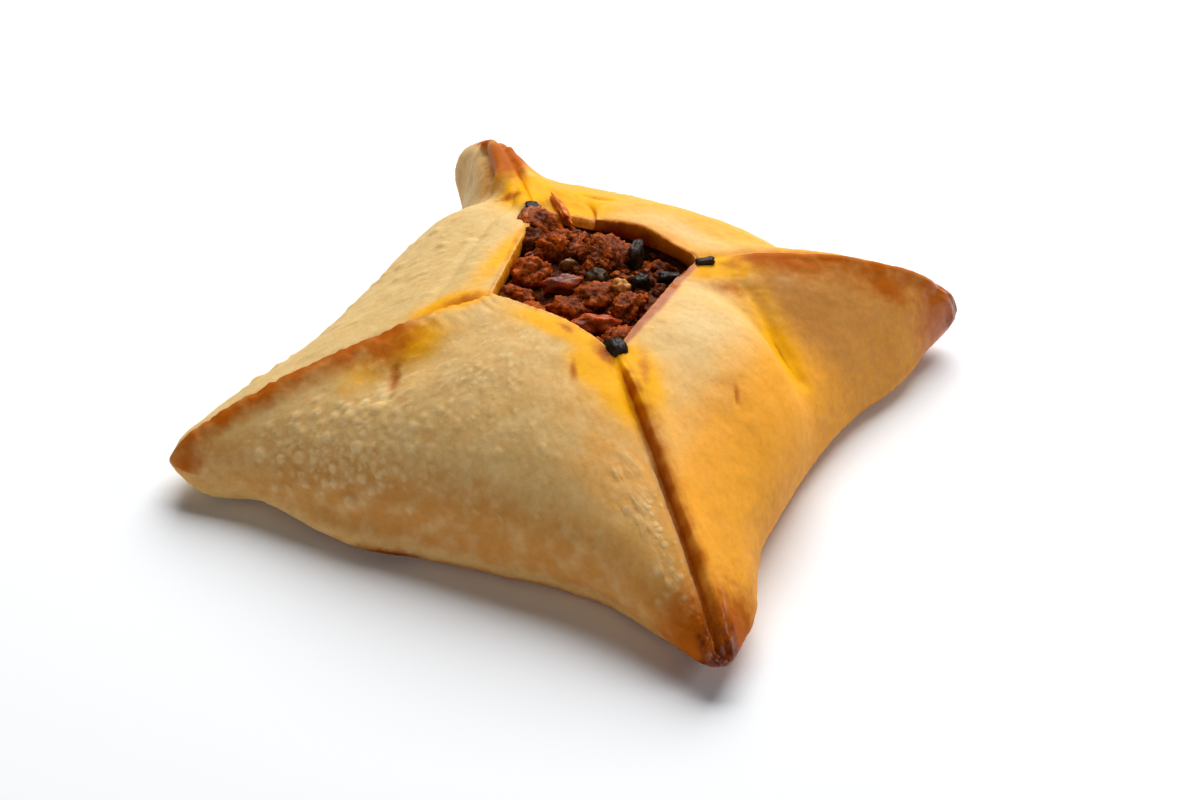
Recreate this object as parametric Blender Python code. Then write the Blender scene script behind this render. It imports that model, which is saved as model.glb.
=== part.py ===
"""A fatayer: a small square pastry of thin dough folded over spiced minced meat.

The dough is one closed shell, a little under 100 mm from tip to tip along a side. Four flaps rise over the filling and
meet in pinched seams, which run from the corners of a small square opening to four pointed
tips. The filling is one heap that runs under the flaps and shows in the opening.

A place on the dough's surface has three coordinates: the side it belongs to, a level t from
-1 at the foot over 0 at the widest line to 1 at the rim, and w from -1 to 1 along that side.
Sides and corners go round counter-clockwise, seen from above, from the front side and the left
corner on. Lengths are in millimetres, and the vertices are placed in metres.
"""
import math
import random
from dataclasses import dataclass, replace

import bmesh
import bpy
from mathutils import Vector, noise
from mathutils.bvhtree import BVHTree

MM = 0.001
CORNERS = 4
FRONT, RIGHT, BACK, LEFT = range(CORNERS)


def bump(x, spread):
    """A bell curve of height 1."""
    return math.exp(-(x / spread) ** 2)


def smooth(x):
    """Eases from 0 to 1."""
    x = max(0.0, min(1.0, x))
    return x * x * (3 - 2 * x)


@dataclass(frozen=True)
class Corner:
    """A pinched corner: its ridge runs from the tip up to the opening's corner."""
    tip: tuple            # plan place of the tip's nose
    tip_z: float          # height of the nose's foremost point
    foot: float           # distance of the foot from the centre
    rim: tuple            # plan place of the opening's corner
    rim_z: float
    ridge: float          # 1 is a straight ridge, 2 an elliptic one
    nose: float           # roundness of the tip in plan
    crest: float          # roundness of the ridge in plan


@dataclass(frozen=True)
class Side:
    """The middle of a flap, from its foot over its belly to the opening's edge."""
    normal: tuple
    wide: float           # distance of the widest line from the centre
    wide_z: float
    foot: float
    rim: float
    rim_z: float
    dome: float           # 2 is an ellipse, less is flatter


SWELL_POWER = 24          # how suddenly a swell ends before a corner


@dataclass(frozen=True)
class Swell:
    """A soft bulge or hollow of a flap: where it is, how far it spreads and how far it moves."""
    side: int
    w: float
    w_spread: float
    t: float
    t_spread: float
    out: float
    up: float = 0.0
    bend: float = 0.0     # how far its w has moved at the rim
    far: float = 0.0      # its spread toward higher w, where that differs

    def amount(self, t, w):
        """Its share of the full move at a place."""
        offset = w - self.w - self.bend * max(t, 0.0) ** 2
        spread = self.far if self.far and offset > 0 else self.w_spread
        return bump(offset, spread) * bump(t - self.t, self.t_spread) * (1 - abs(w) ** SWELL_POWER)


@dataclass(frozen=True)
class Lap:
    """A seam where one flap's cut edge lies on its neighbour."""
    upper: int            # 1 where the side after the corner lies on top, -1 where the one before
    height: float         # step from the groove to the upper flap's edge
    band_rim: float       # breadth of the cut edge at the opening
    band_tip: float       # and at the tip
    groove: float


# The dough's outer form
DOUGH_CORNERS = (
    Corner((-49.5, -48.0), 6.0, 48.0, (-10.0, -11.5), 26.5, 1.2, 9.0, 2.6),
    Corner((51.0, -51.0), 5.5, 50.0, (14.0, -14.5), 26.0, 1.2, 5.0, 2.2),
    Corner((46.0, 48.5), 6.5, 48.0, (14.5, 14.5), 26.5, 1.6, 6.0, 2.6),
    Corner((-43.0, 46.5), 9.5, 46.0, (-16.5, 16.0), 25.5, 2.1, 6.0, 3.0),
)
DOUGH_SIDES = (
    Side((0, -1), 43.5, 6.0, 40.5, 12.0, 28.0, 2.2),
    Side((1, 0), 40.5, 6.0, 37.0, 13.6, 27.0, 2.1),
    Side((0, 1), 41.0, 6.0, 37.0, 17.0, 27.0, 1.85),
    Side((-1, 0), 39.8, 6.0, 36.5, 13.0, 26.5, 1.9),
)
SWELLS = (
    Swell(FRONT, -0.36, 0.28, -0.60, 0.75, 4.2),
    Swell(FRONT, -0.86, 0.12, -0.40, 0.50, 1.8, -0.6),
    Swell(FRONT, 0.50, 0.30, -0.35, 0.60, -3.4),
    Swell(FRONT, -0.57, 0.12, 0.60, 0.14, -1.0, -0.9),
    Swell(RIGHT, -0.72, 0.18, -0.10, 0.45, 2.8),
    Swell(RIGHT, 0.66, 0.18, -0.40, 0.45, 2.2),
    Swell(RIGHT, 0.14, 0.13, 0.48, 0.36, -3.8, -2.5, 0.30, 0.45),
    Swell(RIGHT, -0.20, 0.28, 0.42, 0.45, 1.6, 1.0),
    Swell(LEFT, -0.88, 0.09, -0.05, 0.36, 4.0, 2.4),
    Swell(LEFT, 0.74, 0.20, 0.05, 0.45, 1.4, 0.2),
    Swell(LEFT, -0.55, 0.16, 0.35, 0.45, -3.5, -1.5),
    Swell(BACK, 0.66, 0.20, 0.40, 0.40, -3.0, -1.2),
    Swell(BACK, -0.62, 0.20, 0.40, 0.40, -2.5, -1.0),
    Swell(BACK, -0.25, 0.25, 0.75, 0.40, 0.0, 0.9),
    Swell(BACK, 0.35, 0.20, 0.75, 0.40, 0.0, -0.9),
)
LAPS = (
    Lap(1, 1.5, 1.0, 1.2, 0.5),
    Lap(1, 1.5, 1.4, 2.6, 0.6),
    Lap(1, 0.8, 0.8, 1.0, 0.6),
    Lap(1, 0.5, 1.6, 1.8, 1.3),
)

SAG_POWER = 2.2           # how squarely a contour runs between its corners
NOSE_LEVELS = 0.22        # levels over which a corner goes from its nose's roundness to its crest's
ROUND_SHARE = 0.9         # the most of half a contour's side that a corner's rounding takes

# The pocket that the dough encloses, a plain cushion under the flaps
EDGE = 2.6                # thickness of the flaps' cut edges
FLOOR = 3.0               # thickness of the dough's base
POCKET_TIP = 0.66         # the pocket's corners, as a share of the tips
POCKET_FOOT = 0.84
POCKET_WALL = 6.0
POCKET_RIDGE = 1.25
POCKET_DOME = 1.9
POCKET_LEVEL = 8.5        # height of the pocket's widest line
POCKET_NOSE = 12.0
POCKET_CREST = 4.0
POCKET_LIP = 0.4          # how far the pocket's rim lies inside the opening
CORNER_INSET = 1.4        # how far a corner moves in for a given inset of its sides
GAP = 0.45                # between dough and filling

# The heap in the opening
HEAP_RISE = 23.5          # mean height of the heap's surface
HEAP_REACH = 20.0         # how far the opening reaches from the centre, at most
HEAP_SHARES = (0.86, 0.7, 0.53, 0.36, 0.18)
MOUNDS = ((3.0, 3.0, 9.0, 2.2), (-6.0, -3.0, 7.0, -0.8))    # place, spread and height of each
ROLL = 0.45               # height of the grain on the bare heap
ROLL_SIZE = 2.6

# Levels of the surfaces
BASE_SHARES = (0.35, 0.7)
FOOT_LEVELS = 6
FLAP_LEVELS = 16
POCKET_LEVELS = 6
SHOULDER_SHARE = 0.3      # where the cut edge's shoulder lies between rim and pocket
SHOULDER_RISE = 0.25      # how far it swells up, as a share of the edge's thickness
LAP_SPREAD = 4.5          # how far an upper flap's raised edge reaches into the flap
LAP_START = -0.6          # level under the tip at which the laps begin
LAP_FADE = 1.1            # levels over which they rise to their full height
GROOVE_SPREAD = 1.2
RIM_LEVEL = 0.85          # level at which the laps begin to sink again toward the rim
RIM_SINK = 0.4            # share of their height that they lose there


def plan(pair, z=0.0):
    """A vector from a place in plan."""
    return Vector((pair[0], pair[1], z))


@dataclass(frozen=True)
class Shell:
    """A four-cornered cushion's surface, made of corners and sides."""
    corners: tuple
    sides: tuple
    floor: float
    swells: tuple = ()

    def corner_point(self, i, t):
        """The place of level t on the ridge line of corner i."""
        corner = self.corners[i]
        tip = plan(corner.tip)
        turn = (1 + t if t < 0 else t) * math.pi / 2
        if t < 0:
            point = tip.normalized() * (corner.foot + (tip.length - corner.foot) * math.sin(turn))
            point.z = self.floor + (corner.tip_z - self.floor) * (1 - math.cos(turn))
            return point
        power = 2 / corner.ridge
        point = plan(corner.rim).lerp(tip, math.cos(turn) ** power)
        point.z = corner.tip_z + (corner.rim_z - corner.tip_z) * math.sin(turn) ** power
        return point

    def middle(self, k, t):
        """How far out and how high the middle of side k is at level t."""
        side = self.sides[k]
        turn = (1 + t if t < 0 else t) * math.pi / 2
        if t < 0:
            return (side.foot + (side.wide - side.foot) * math.sin(turn),
                    self.floor + (side.wide_z - self.floor) * (1 - math.cos(turn)))
        power = 2 / side.dome
        return (side.rim + (side.wide - side.rim) * math.cos(turn) ** power,
                side.wide_z + (side.rim_z - side.wide_z) * math.sin(turn) ** power)

    def span(self, k, t):
        """Distance between the two corners of side k at level t."""
        chord = self.corner_point((k + 1) % CORNERS, t) - self.corner_point(k, t)
        return chord.xy.length

    def point(self, k, t, w):
        """The place of level t and share w on side k."""
        start, end = self.corner_point(k, t), self.corner_point((k + 1) % CORNERS, t)
        outward = plan(self.sides[k].normal)
        along = Vector((-outward.y, outward.x, 0))
        reach, height = self.middle(k, t)
        chord = (start + end) / 2
        sag = outward * (reach - chord.dot(outward)) + Vector((0, 0, height - chord.z))
        point = start.lerp(end, (1 + w) / 2) + sag * (1 - abs(w) ** SAG_POWER)
        for swell in self.swells:
            if swell.side == k:
                amount = swell.amount(t, w)
                point += outward * swell.out * amount
                point.z += swell.up * amount
        point += self.rounding(k, t, w, along, outward)
        point.z = max(point.z, self.floor)
        return point

    def rounding(self, k, t, w, along, outward):
        """The step that rounds the contour off beside a corner."""
        corner = self.corners[k if w < 0 else (k + 1) % CORNERS]
        half = self.span(k, t) / 2
        radius = corner.crest + (corner.nose - corner.crest) * bump(max(t, 0.0), NOSE_LEVELS)
        radius = min(radius, ROUND_SHARE * half)
        distance = (1 - abs(w)) * half
        if distance >= radius:
            return Vector()
        turn = math.pi / 4 * (1 - distance / radius)
        inward = along if w < 0 else -along
        return inward * (radius * (1 - math.sin(turn)) - distance) - outward * radius * (1 - math.cos(turn))


def pocket(inset):
    """The shell of the pocket, or of the filling where inset is the gap to the dough."""
    corners, sides = [], []
    for corner in DOUGH_CORNERS:
        tip = plan(corner.tip) * POCKET_TIP
        tip -= tip.normalized() * inset * CORNER_INSET
        rim = plan(corner.rim)
        rim -= rim.normalized() * (POCKET_LIP + inset * CORNER_INSET)
        corners.append(replace(corner, tip=tip.xy, tip_z=POCKET_LEVEL, foot=tip.length * POCKET_FOOT,
                               rim=rim.xy, rim_z=corner.rim_z - EDGE - inset, ridge=POCKET_RIDGE,
                               nose=POCKET_NOSE, crest=POCKET_CREST))
    for side in DOUGH_SIDES:
        wide = side.wide - POCKET_WALL - inset
        sides.append(replace(side, wide=wide, wide_z=POCKET_LEVEL, foot=wide * POCKET_FOOT,
                             rim=side.rim - POCKET_LIP - inset, rim_z=side.rim_z - EDGE - inset,
                             dome=POCKET_DOME))
    return Shell(tuple(corners), tuple(sides), FLOOR + inset)


DOUGH = Shell(DOUGH_CORNERS, DOUGH_SIDES, 0.0, SWELLS)
POCKET = pocket(0.0)
FILLING = pocket(GAP)

# Columns of a side: first at fixed distances from its corners, for the laps, then nearly evenly
NEAR_CORNER = (0.0, 0.6, 1.5, 2.7, 4.4)
BETWEEN = 13
EASING = 0.25             # how much closer the even ones stand beside the fixed ones
PER_SIDE = 2 * len(NEAR_CORNER) + BETWEEN - 1


def share(shell, k, t, j):
    """The share w of column j on side k, and its distance from the nearer corner."""
    length = shell.span(k, t)
    last = len(NEAR_CORNER) - 1
    mirrored = PER_SIDE - j
    if j <= last:
        distance = NEAR_CORNER[j]
    elif mirrored <= last:
        distance = length - NEAR_CORNER[mirrored]
    else:
        step = (j - last) / (PER_SIDE - 2 * last)
        eased = (1 - EASING) * step + EASING * (1 - math.cos(math.pi * step)) / 2
        distance = NEAR_CORNER[-1] + (length - 2 * NEAR_CORNER[-1]) * eased
    return 2 * distance / length - 1, min(distance, length - distance)


def levels(count, start, end):
    """Evenly spaced levels from start to end."""
    return [start + (end - start) * i / (count - 1) for i in range(count)]


def contour(shell, t):
    """The points of one level, all the way round."""
    points = []
    for column in range(CORNERS * PER_SIDE):
        k, j = divmod(column, PER_SIDE)
        points.append(shell.point(k, t, share(shell, k, t, j)[0]))
    return points


def shrunk(points, factor, z):
    """A ring of points drawn in toward the centre, at one height."""
    return [Vector((point.x * factor, point.y * factor, z)) for point in points]


def loft(name, rings, bottom, top):
    """A closed body through rings from bottom to top, made from a sphere of as many rings."""
    bm = bmesh.new()
    bmesh.ops.create_uvsphere(bm, u_segments=len(rings[0]), v_segments=len(rings) + 1, radius=1)
    for vertex in bm.verts:
        polar = math.acos(max(-1.0, min(1.0, -vertex.co.z)))
        ring = round(polar / math.pi * (len(rings) + 1)) - 1
        turn = math.atan2(vertex.co.y, vertex.co.x) / math.tau
        column = round(turn * len(rings[0])) % len(rings[0])
        if ring < 0:
            vertex.co = bottom
        elif ring == len(rings):
            vertex.co = top
        else:
            vertex.co = rings[ring][column]
    mesh = bpy.data.meshes.new(name)
    bm.to_mesh(mesh)
    bm.free()
    return mesh


def outward_normal(rings, r, c):
    """The direction that points out of the surface at a ring and column."""
    count = len(rings[r])
    around = rings[r][(c + 1) % count] - rings[r][c - 1]
    rise = rings[min(r + 1, len(rings) - 1)][c] - rings[max(r - 1, 0)][c]
    return around.cross(rise).normalized()


def lap_relief(i, distance, t):
    """How far the lap of corner i lifts the surface; distance is positive on the side after it."""
    lap = LAPS[i]
    distance *= lap.upper
    band = lap.band_tip + (lap.band_rim - lap.band_tip) * max(t, 0.0)
    fade = smooth((t - LAP_START) / LAP_FADE)
    fade *= 1 - RIM_SINK * smooth((t - RIM_LEVEL) / (1 - RIM_LEVEL))
    if distance < 0:
        return -lap.groove * bump(distance, GROOVE_SPREAD) * fade
    if distance < band:
        return (-lap.groove + (lap.height + lap.groove) * smooth(distance / band)) * fade
    return lap.height * bump(distance - band, LAP_SPREAD) * fade


def dough_rings():
    """The dough's outer surface from foot to rim, with its laps."""
    steps = levels(FOOT_LEVELS, -1, 0)[:-1] + levels(FLAP_LEVELS, 0, 1)
    rings = [contour(DOUGH, t) for t in steps]
    lifted = []
    for r, t in enumerate(steps):
        ring = []
        for column in range(CORNERS * PER_SIDE):
            k, j = divmod(column, PER_SIDE)
            w, distance = share(DOUGH, k, t, j)
            corner = k if w < 0 else (k + 1) % CORNERS
            lift = lap_relief(corner, distance if w < 0 else -distance, t)
            point = rings[r][column] + outward_normal(rings, r, column) * lift
            point.z = max(point.z, 0.0)
            ring.append(point)
        lifted.append(ring)
    return lifted


def make_dough():
    """The dough's shell: base, flaps, cut edges, and the pocket's wall and floor inside."""
    outer = dough_rings()
    inner = [contour(POCKET, t) for t in levels(POCKET_LEVELS, 1, -1)]
    rise = Vector((0, 0, SHOULDER_RISE * EDGE))
    shoulder = [top.lerp(low, SHOULDER_SHARE) + rise for top, low in zip(outer[-1], inner[0])]
    base = [shrunk(outer[0], factor, 0.0) for factor in BASE_SHARES]
    floor = [shrunk(inner[-1], factor, FLOOR) for factor in reversed(BASE_SHARES)]
    return loft("dough", base + outer + [shoulder] + inner + floor, Vector(), Vector((0, 0, FLOOR)))


def heap_height(x, y):
    """Height of the bare heap, mounded in the middle and rolling."""
    mounds = sum(rise * bump(math.hypot(x - mx, y - my), spread) for mx, my, spread, rise in MOUNDS)
    return HEAP_RISE + mounds + ROLL * noise.noise(Vector((x, y, 0)) / ROLL_SIZE)


def make_heap():
    """The filling's core, from its floor to the heap that shows."""
    sunk = [contour(FILLING, t)[::2] for t in levels(POCKET_LEVELS, -1, 1)]
    floor = [shrunk(sunk[0], factor, FLOOR + GAP) for factor in BASE_SHARES]
    heap = []
    for factor in HEAP_SHARES:
        points = shrunk(sunk[-1], factor, 0.0)
        heap.append([plan(point, heap_height(point.x, point.y)) for point in points])
    return loft("filling", floor + sunk + heap, Vector((0, 0, FLOOR + GAP)),
                Vector((0, 0, heap_height(0, 0))))


@dataclass(frozen=True)
class Bit:
    """A lump of mince, a piece of vegetable or a charred bit: its place and its own size."""
    x: float
    y: float
    length: float
    breadth: float
    height: float
    turn: float = 0.0


# Pieces in the opening that stand out
CLUMPS = (
    Bit(0.4, 8.6, 9.0, 9.0, 7.5),
    Bit(-7.4, 11.0, 6.5, 6.0, 5.0),
    Bit(-2.4, -0.6, 6.5, 4.5, 4.0, 0.5),
    Bit(6.4, -6.6, 8.5, 4.2, 4.2, 0.5),
    Bit(1.8, 2.4, 4.8, 4.0, 3.8),
    Bit(7.0, 1.8, 4.0, 4.0, 3.8),
    Bit(-7.6, 3.2, 6.0, 5.0, 4.4, 1.0),
    Bit(-8.0, -5.6, 5.4, 4.4, 3.6, 0.3),
    Bit(10.6, 9.6, 3.4, 2.4, 2.6, 0.6),
    Bit(8.8, 4.6, 2.8, 2.2, 4.6),
    Bit(4.6, 11.8, 2.0, 3.6, 4.6, 0.3),
)
# Charred bits that lie on the dough at the opening's corners, or at this height beside it
CHARRED_HEIGHT = 24.0
CHARRED = (
    Bit(13.4, -13.6, 3.0, 4.4, 3.2, 0.9),
    Bit(15.6, 14.4, 2.4, 1.6, 1.8, 0.4),
    Bit(-16.8, 15.4, 2.6, 2.4, 2.2),
)
MINCE_STEP = 2.9          # spacing of the small lumps
MINCE_SHAKE = 0.7         # how far they lie off their grid, at most
MINCE_SIZES = (3.2, 4.8)
MINCE_BREADTHS = (0.7, 1.0)     # as shares of a lump's length
MINCE_HEIGHTS = (0.7, 0.95)
LUMP_ROUGHNESS = 0.35
LUMP_WAVES = 1.7          # how many dents a lump has across
DRAW_SPREAD = 3.7         # how far apart two lumps' dents are drawn
LUMP_FINENESS = 2
LUMP_LIFT = 0.18          # how far over the heap a lump's centre lies, as a share of its height
SEED = 11
SHRINK_TRIES = (1.0, 0.85, 0.7, 0.55)
CROWDING = 0.34           # how near a small lump may come to a large one, in shares of both
ABOVE = 100.0             # a height over everything


def lump(bit, z):
    """A rough lump of a bit's size, centred at height z."""
    bm = bmesh.new()
    bmesh.ops.create_icosphere(bm, subdivisions=LUMP_FINENESS, radius=0.5)
    offset = Vector((bit.x, bit.y, bit.length)) * DRAW_SPREAD
    cosine, sine = math.cos(bit.turn), math.sin(bit.turn)
    for vertex in bm.verts:
        direction = vertex.co.normalized()
        rough = 1 + LUMP_ROUGHNESS * noise.noise(direction * LUMP_WAVES + offset)
        x = vertex.co.x * bit.length * rough
        y = vertex.co.y * bit.breadth * rough
        vertex.co = Vector((bit.x + x * cosine - y * sine, bit.y + x * sine + y * cosine,
                            z + vertex.co.z * bit.height * rough))
    mesh = bpy.data.meshes.new("lump")
    bm.to_mesh(mesh)
    bm.free()
    return mesh


def mince():
    """Small lumps all over the heap, on a shaken grid."""
    draw = random.Random(SEED)
    rows = int(2 * HEAP_REACH / MINCE_STEP) + 1
    bits = []
    for row in range(rows):
        for column in range(rows):
            x = -HEAP_REACH + (column + 0.5 * (row % 2)) * MINCE_STEP
            y = -HEAP_REACH + row * MINCE_STEP
            x += draw.uniform(-MINCE_SHAKE, MINCE_SHAKE)
            y += draw.uniform(-MINCE_SHAKE, MINCE_SHAKE)
            length = draw.uniform(*MINCE_SIZES)
            bits.append(Bit(x, y, length, length * draw.uniform(*MINCE_BREADTHS),
                            length * draw.uniform(*MINCE_HEIGHTS), draw.uniform(0, math.pi)))
    return bits


def surface_height(tree, x, y):
    """Height of the topmost surface of a mesh's tree over a place in plan, or None."""
    hit = tree.ray_cast(plan((x, y), ABOVE), Vector((0, 0, -1)))[0]
    return None if hit is None else hit.z


def clear_lumps(bits, heap_tree, dough_tree, taken):
    """The lumps that fit in the opening clear of the dough, each at full size or a little less."""
    meshes = []
    for bit in bits:
        if any(math.hypot(bit.x - other.x, bit.y - other.y) < CROWDING * (bit.length + other.length)
               for other in taken):
            continue
        height = surface_height(heap_tree, bit.x, bit.y)
        cover = surface_height(dough_tree, bit.x, bit.y)
        if height is None or cover is not None and cover > height:
            continue
        for factor in SHRINK_TRIES:
            tried = replace(bit, length=bit.length * factor, breadth=bit.breadth * factor,
                            height=bit.height * factor)
            mesh = lump(tried, height + LUMP_LIFT * tried.height)
            nearest = min(dough_tree.find_nearest(vertex.co)[3] for vertex in mesh.vertices)
            inside = any(under(dough_tree, vertex.co) for vertex in mesh.vertices)
            if nearest > GAP and not inside:
                meshes.append(mesh)
                break
            bpy.data.meshes.remove(mesh)
    return meshes


def under(tree, place):
    """Whether a place is under or inside the dough."""
    top = surface_height(tree, place.x, place.y)
    return top is not None and top > place.z


def tree_of(mesh):
    """A search tree of a mesh."""
    bm = bmesh.new()
    bm.from_mesh(mesh)
    tree = BVHTree.FromBMesh(bm)
    bm.free()
    return tree


def middle_of(mesh):
    """The middle of a mesh's box in plan."""
    xs = [vertex.co.x for vertex in mesh.vertices]
    ys = [vertex.co.y for vertex in mesh.vertices]
    return Vector(((min(xs) + max(xs)) / 2, (min(ys) + max(ys)) / 2, 0))


def to_metres(mesh, origin):
    """Brings a mesh from millimetres to metres, with its origin moved to a given place."""
    for vertex in mesh.vertices:
        vertex.co = (vertex.co - origin) * MM


def make_material(name, color, roughness):
    """A plain finish."""
    material = bpy.data.materials.new(name)
    material.use_nodes = True
    shader = material.node_tree.nodes["Principled BSDF"]
    shader.inputs["Base Color"].default_value = (*color, 1)
    shader.inputs["Roughness"].default_value = roughness
    return material


def fused(name, core, lumps, collection):
    """An object of the core with its lumps joined on by one union."""
    body = bpy.data.objects.new(name, core)
    collection.objects.link(body)
    pieces = bpy.data.collections.new(name + " lumps")
    bpy.context.scene.collection.children.link(pieces)
    for mesh in lumps:
        pieces.objects.link(bpy.data.objects.new("lump", mesh))
    union = body.modifiers.new("lumps", "BOOLEAN")
    union.operation = "UNION"
    union.operand_type = "COLLECTION"
    union.collection = pieces
    union.solver = "EXACT"
    graph = bpy.context.evaluated_depsgraph_get()
    joined = bpy.data.meshes.new_from_object(body.evaluated_get(graph))
    joined.name = name
    body.modifiers.clear()
    body.data = joined
    for piece in list(pieces.objects):
        bpy.data.objects.remove(piece)
    bpy.data.collections.remove(pieces)
    return body


def without_scraps(body):
    """Keeps only the largest connected part of a body."""
    bm = bmesh.new()
    bm.from_mesh(body.data)
    left, islands = set(bm.verts), []
    while left:
        island, queue = set(), [left.pop()]
        while queue:
            vertex = queue.pop()
            island.add(vertex)
            for edge in vertex.link_edges:
                other = edge.other_vert(vertex)
                if other in left:
                    left.remove(other)
                    queue.append(other)
        islands.append(island)
    islands.sort(key=len)
    for island in islands[:-1]:
        bmesh.ops.delete(bm, geom=list(island), context="VERTS")
    bm.to_mesh(body.data)
    bm.free()


def main():
    """Builds the dough and the filling."""
    for item in list(bpy.data.objects):
        bpy.data.objects.remove(item)
    collection = bpy.data.collections.new("fatayer")
    bpy.context.scene.collection.children.link(collection)

    dough_mesh, heap_mesh = make_dough(), make_heap()
    dough_tree, heap_tree = tree_of(dough_mesh), tree_of(heap_mesh)
    charred = [lump(bit, surface_height(dough_tree, bit.x, bit.y) or CHARRED_HEIGHT) for bit in CHARRED]
    dough = fused("dough", dough_mesh, charred, collection)
    dough_tree = tree_of(dough.data)
    lumps = clear_lumps(CLUMPS, heap_tree, dough_tree, ())
    lumps += clear_lumps(mince(), heap_tree, dough_tree, CLUMPS)
    filling = fused("filling", heap_mesh, lumps, collection)
    origin = middle_of(dough.data)
    for body in (dough, filling):
        without_scraps(body)
        to_metres(body.data, origin)
        body.data.shade_smooth()
    dough.data.materials.append(make_material("baked dough", (0.72, 0.46, 0.20), 0.6))
    filling.data.materials.append(make_material("minced meat", (0.10, 0.035, 0.018), 0.5))


if __name__ == "__main__":
    main()
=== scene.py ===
"""Looks of a meat fatayer: a small square pastry with pinched corners, open in the middle.

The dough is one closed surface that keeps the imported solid's form at a finer grain, with its
laps, valleys, blisters, oil stains and browning. The filling is a heap of browned mince with
bits of tomato, onion and herb, and charred crumbs. Lengths in the classes are in millimetres,
and a piece goes to metres as its vertices are placed.
"""
import logging
import math
import random
from dataclasses import dataclass, replace
from enum import Enum
from typing import NamedTuple, Optional, Sequence

import bmesh
import bpy
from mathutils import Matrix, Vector, noise
from mathutils.bvhtree import BVHTree
from mathutils.kdtree import KDTree


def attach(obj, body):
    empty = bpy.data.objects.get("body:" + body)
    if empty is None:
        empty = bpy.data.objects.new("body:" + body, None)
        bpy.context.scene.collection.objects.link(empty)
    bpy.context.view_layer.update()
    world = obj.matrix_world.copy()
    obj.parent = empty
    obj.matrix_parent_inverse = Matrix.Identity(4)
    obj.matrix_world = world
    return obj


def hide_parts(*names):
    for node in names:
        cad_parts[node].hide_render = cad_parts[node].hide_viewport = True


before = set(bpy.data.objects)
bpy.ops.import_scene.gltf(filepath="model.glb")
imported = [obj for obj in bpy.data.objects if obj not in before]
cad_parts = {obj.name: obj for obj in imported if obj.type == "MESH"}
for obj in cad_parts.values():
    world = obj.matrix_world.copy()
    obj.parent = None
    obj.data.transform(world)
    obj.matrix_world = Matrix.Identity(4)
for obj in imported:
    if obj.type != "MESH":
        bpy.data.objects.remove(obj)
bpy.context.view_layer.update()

LOG = logging.getLogger("fatayer")
MM = 0.001
SIDES = 4
# The middle of the pastry's plan box, in the millimetre frame that its sizes are given in
PLAN_MIDDLE = Vector((1.501, -1.159, 0.0))


def bump(x: float, spread: float) -> float:
    """A bell curve of height 1, at x, of a given spread."""
    return math.exp(-(x / spread) ** 2)


def smooth(x: float) -> float:
    """Eases from 0 to 1 as x does, and stays there."""
    x = max(0.0, min(1.0, x))
    return x * x * (3 - 2 * x)


def band(x: float, low: float, high: float, soft: float) -> float:
    """1 between low and high, easing to 0 over soft on either side."""
    return smooth((x - low) / soft + 1) * smooth((high - x) / soft + 1)


def rise(x: float, low: float, high: float) -> float:
    """0 up to low, easing to 1 at high."""
    return smooth((x - low) / (high - low))


def fall(x: float, low: float, high: float) -> float:
    """1 up to low, easing to 0 at high."""
    return 1 - rise(x, low, high)


def ragged(place: Vector, size: float) -> float:
    """Noise about 0.5, at a place, whose patches are about size millimetres across."""
    return 0.5 + 0.8 * noise.noise(place / size)


def linear(red: int, green: int, blue: int) -> tuple[float, float, float, float]:
    """Turns a colour on the 0 to 255 screen scale into the shader's linear one.

    Args:
        red: Screen red.
        green: Screen green.
        blue: Screen blue.

    Returns:
        The linear colour with full alpha.
    """
    channels = [(value / 255 + 0.055) / 1.055 for value in (red, green, blue)]
    return (*(value ** 2.4 for value in channels), 1.0)


class Flap(Enum):
    """The four flaps, counter-clockwise from the front, seen from above."""
    FRONT = 0
    RIGHT = 1
    BACK = 2
    LEFT = 3


class Pinch(Enum):
    """The four pinched corners, each before the flap of the same number."""
    LEFT = 0
    FRONT = 1
    RIGHT = 2
    BACK = 3


class Tint(Enum):
    """What the oven and the filling leave on the dough, with painted shade in the tan and painted highlights
    in the pale; each is a mask on its surface.
    """
    GOLD = "gold"
    TAN = "tan_and_painted_shade"
    OIL = "oil"
    BROWN = "brown"
    BURN = "burn"
    PALE_AND_PAINTED_HIGHLIGHT = "pale"
    GLOSS = "gloss"
    PEBBLED = "pebbled"


class Bit(Enum):
    """The kinds of pieces in the filling."""
    MINCE = "mince"
    TOMATO = "tomato"
    ONION = "onion"
    HERB = "herb"
    CHAR = "charred"
    CRUST = "crust"


@dataclass(frozen=True)
class Corner:
    """A pinched corner, whose ridge runs from the tip up to the opening's corner."""
    tip: tuple[float, float]
    tip_z: float
    foot: float           # how far out its foot stands
    rim: tuple[float, float]
    rim_z: float
    ridge: float          # how full the ridge line is
    nose: float           # rounding radius at the tip
    crest: float          # rounding radius up the ridge


@dataclass(frozen=True)
class Side:
    """The middle of a flap, from its foot over its belly to the opening's edge."""
    normal: tuple[int, int]
    wide: float           # how far out the middle is at the widest line
    wide_z: float
    foot: float           # and at the foot
    rim: float            # and at the opening
    rim_z: float
    dome: float           # how full its upward curve is


@dataclass(frozen=True)
class Swell:
    """A soft bulge or hollow of a flap."""
    flap: Flap
    share: float
    share_spread: float
    level: float
    level_spread: float
    out: float
    up: float = 0.0
    bend: float = 0.0             # how its middle drifts along the side higher up
    far: float = 0.0              # its spread on the far side, if that differs
    corner_power: float = 24      # how close to the corners it still shows

    def amount(self, level: float, share: float) -> float:
        """How much of the full move a place gets.

        Args:
            level: The place's level.
            share: The place's share along the side.

        Returns:
            The part of the full move, from 0 to 1.
        """
        offset = share - self.share - self.bend * max(level, 0.0) ** 2
        spread = self.far if self.far and offset > 0 else self.share_spread
        amount = bump(offset, spread) * bump(level - self.level, self.level_spread)
        return amount * (1 - abs(share) ** self.corner_power)


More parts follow.
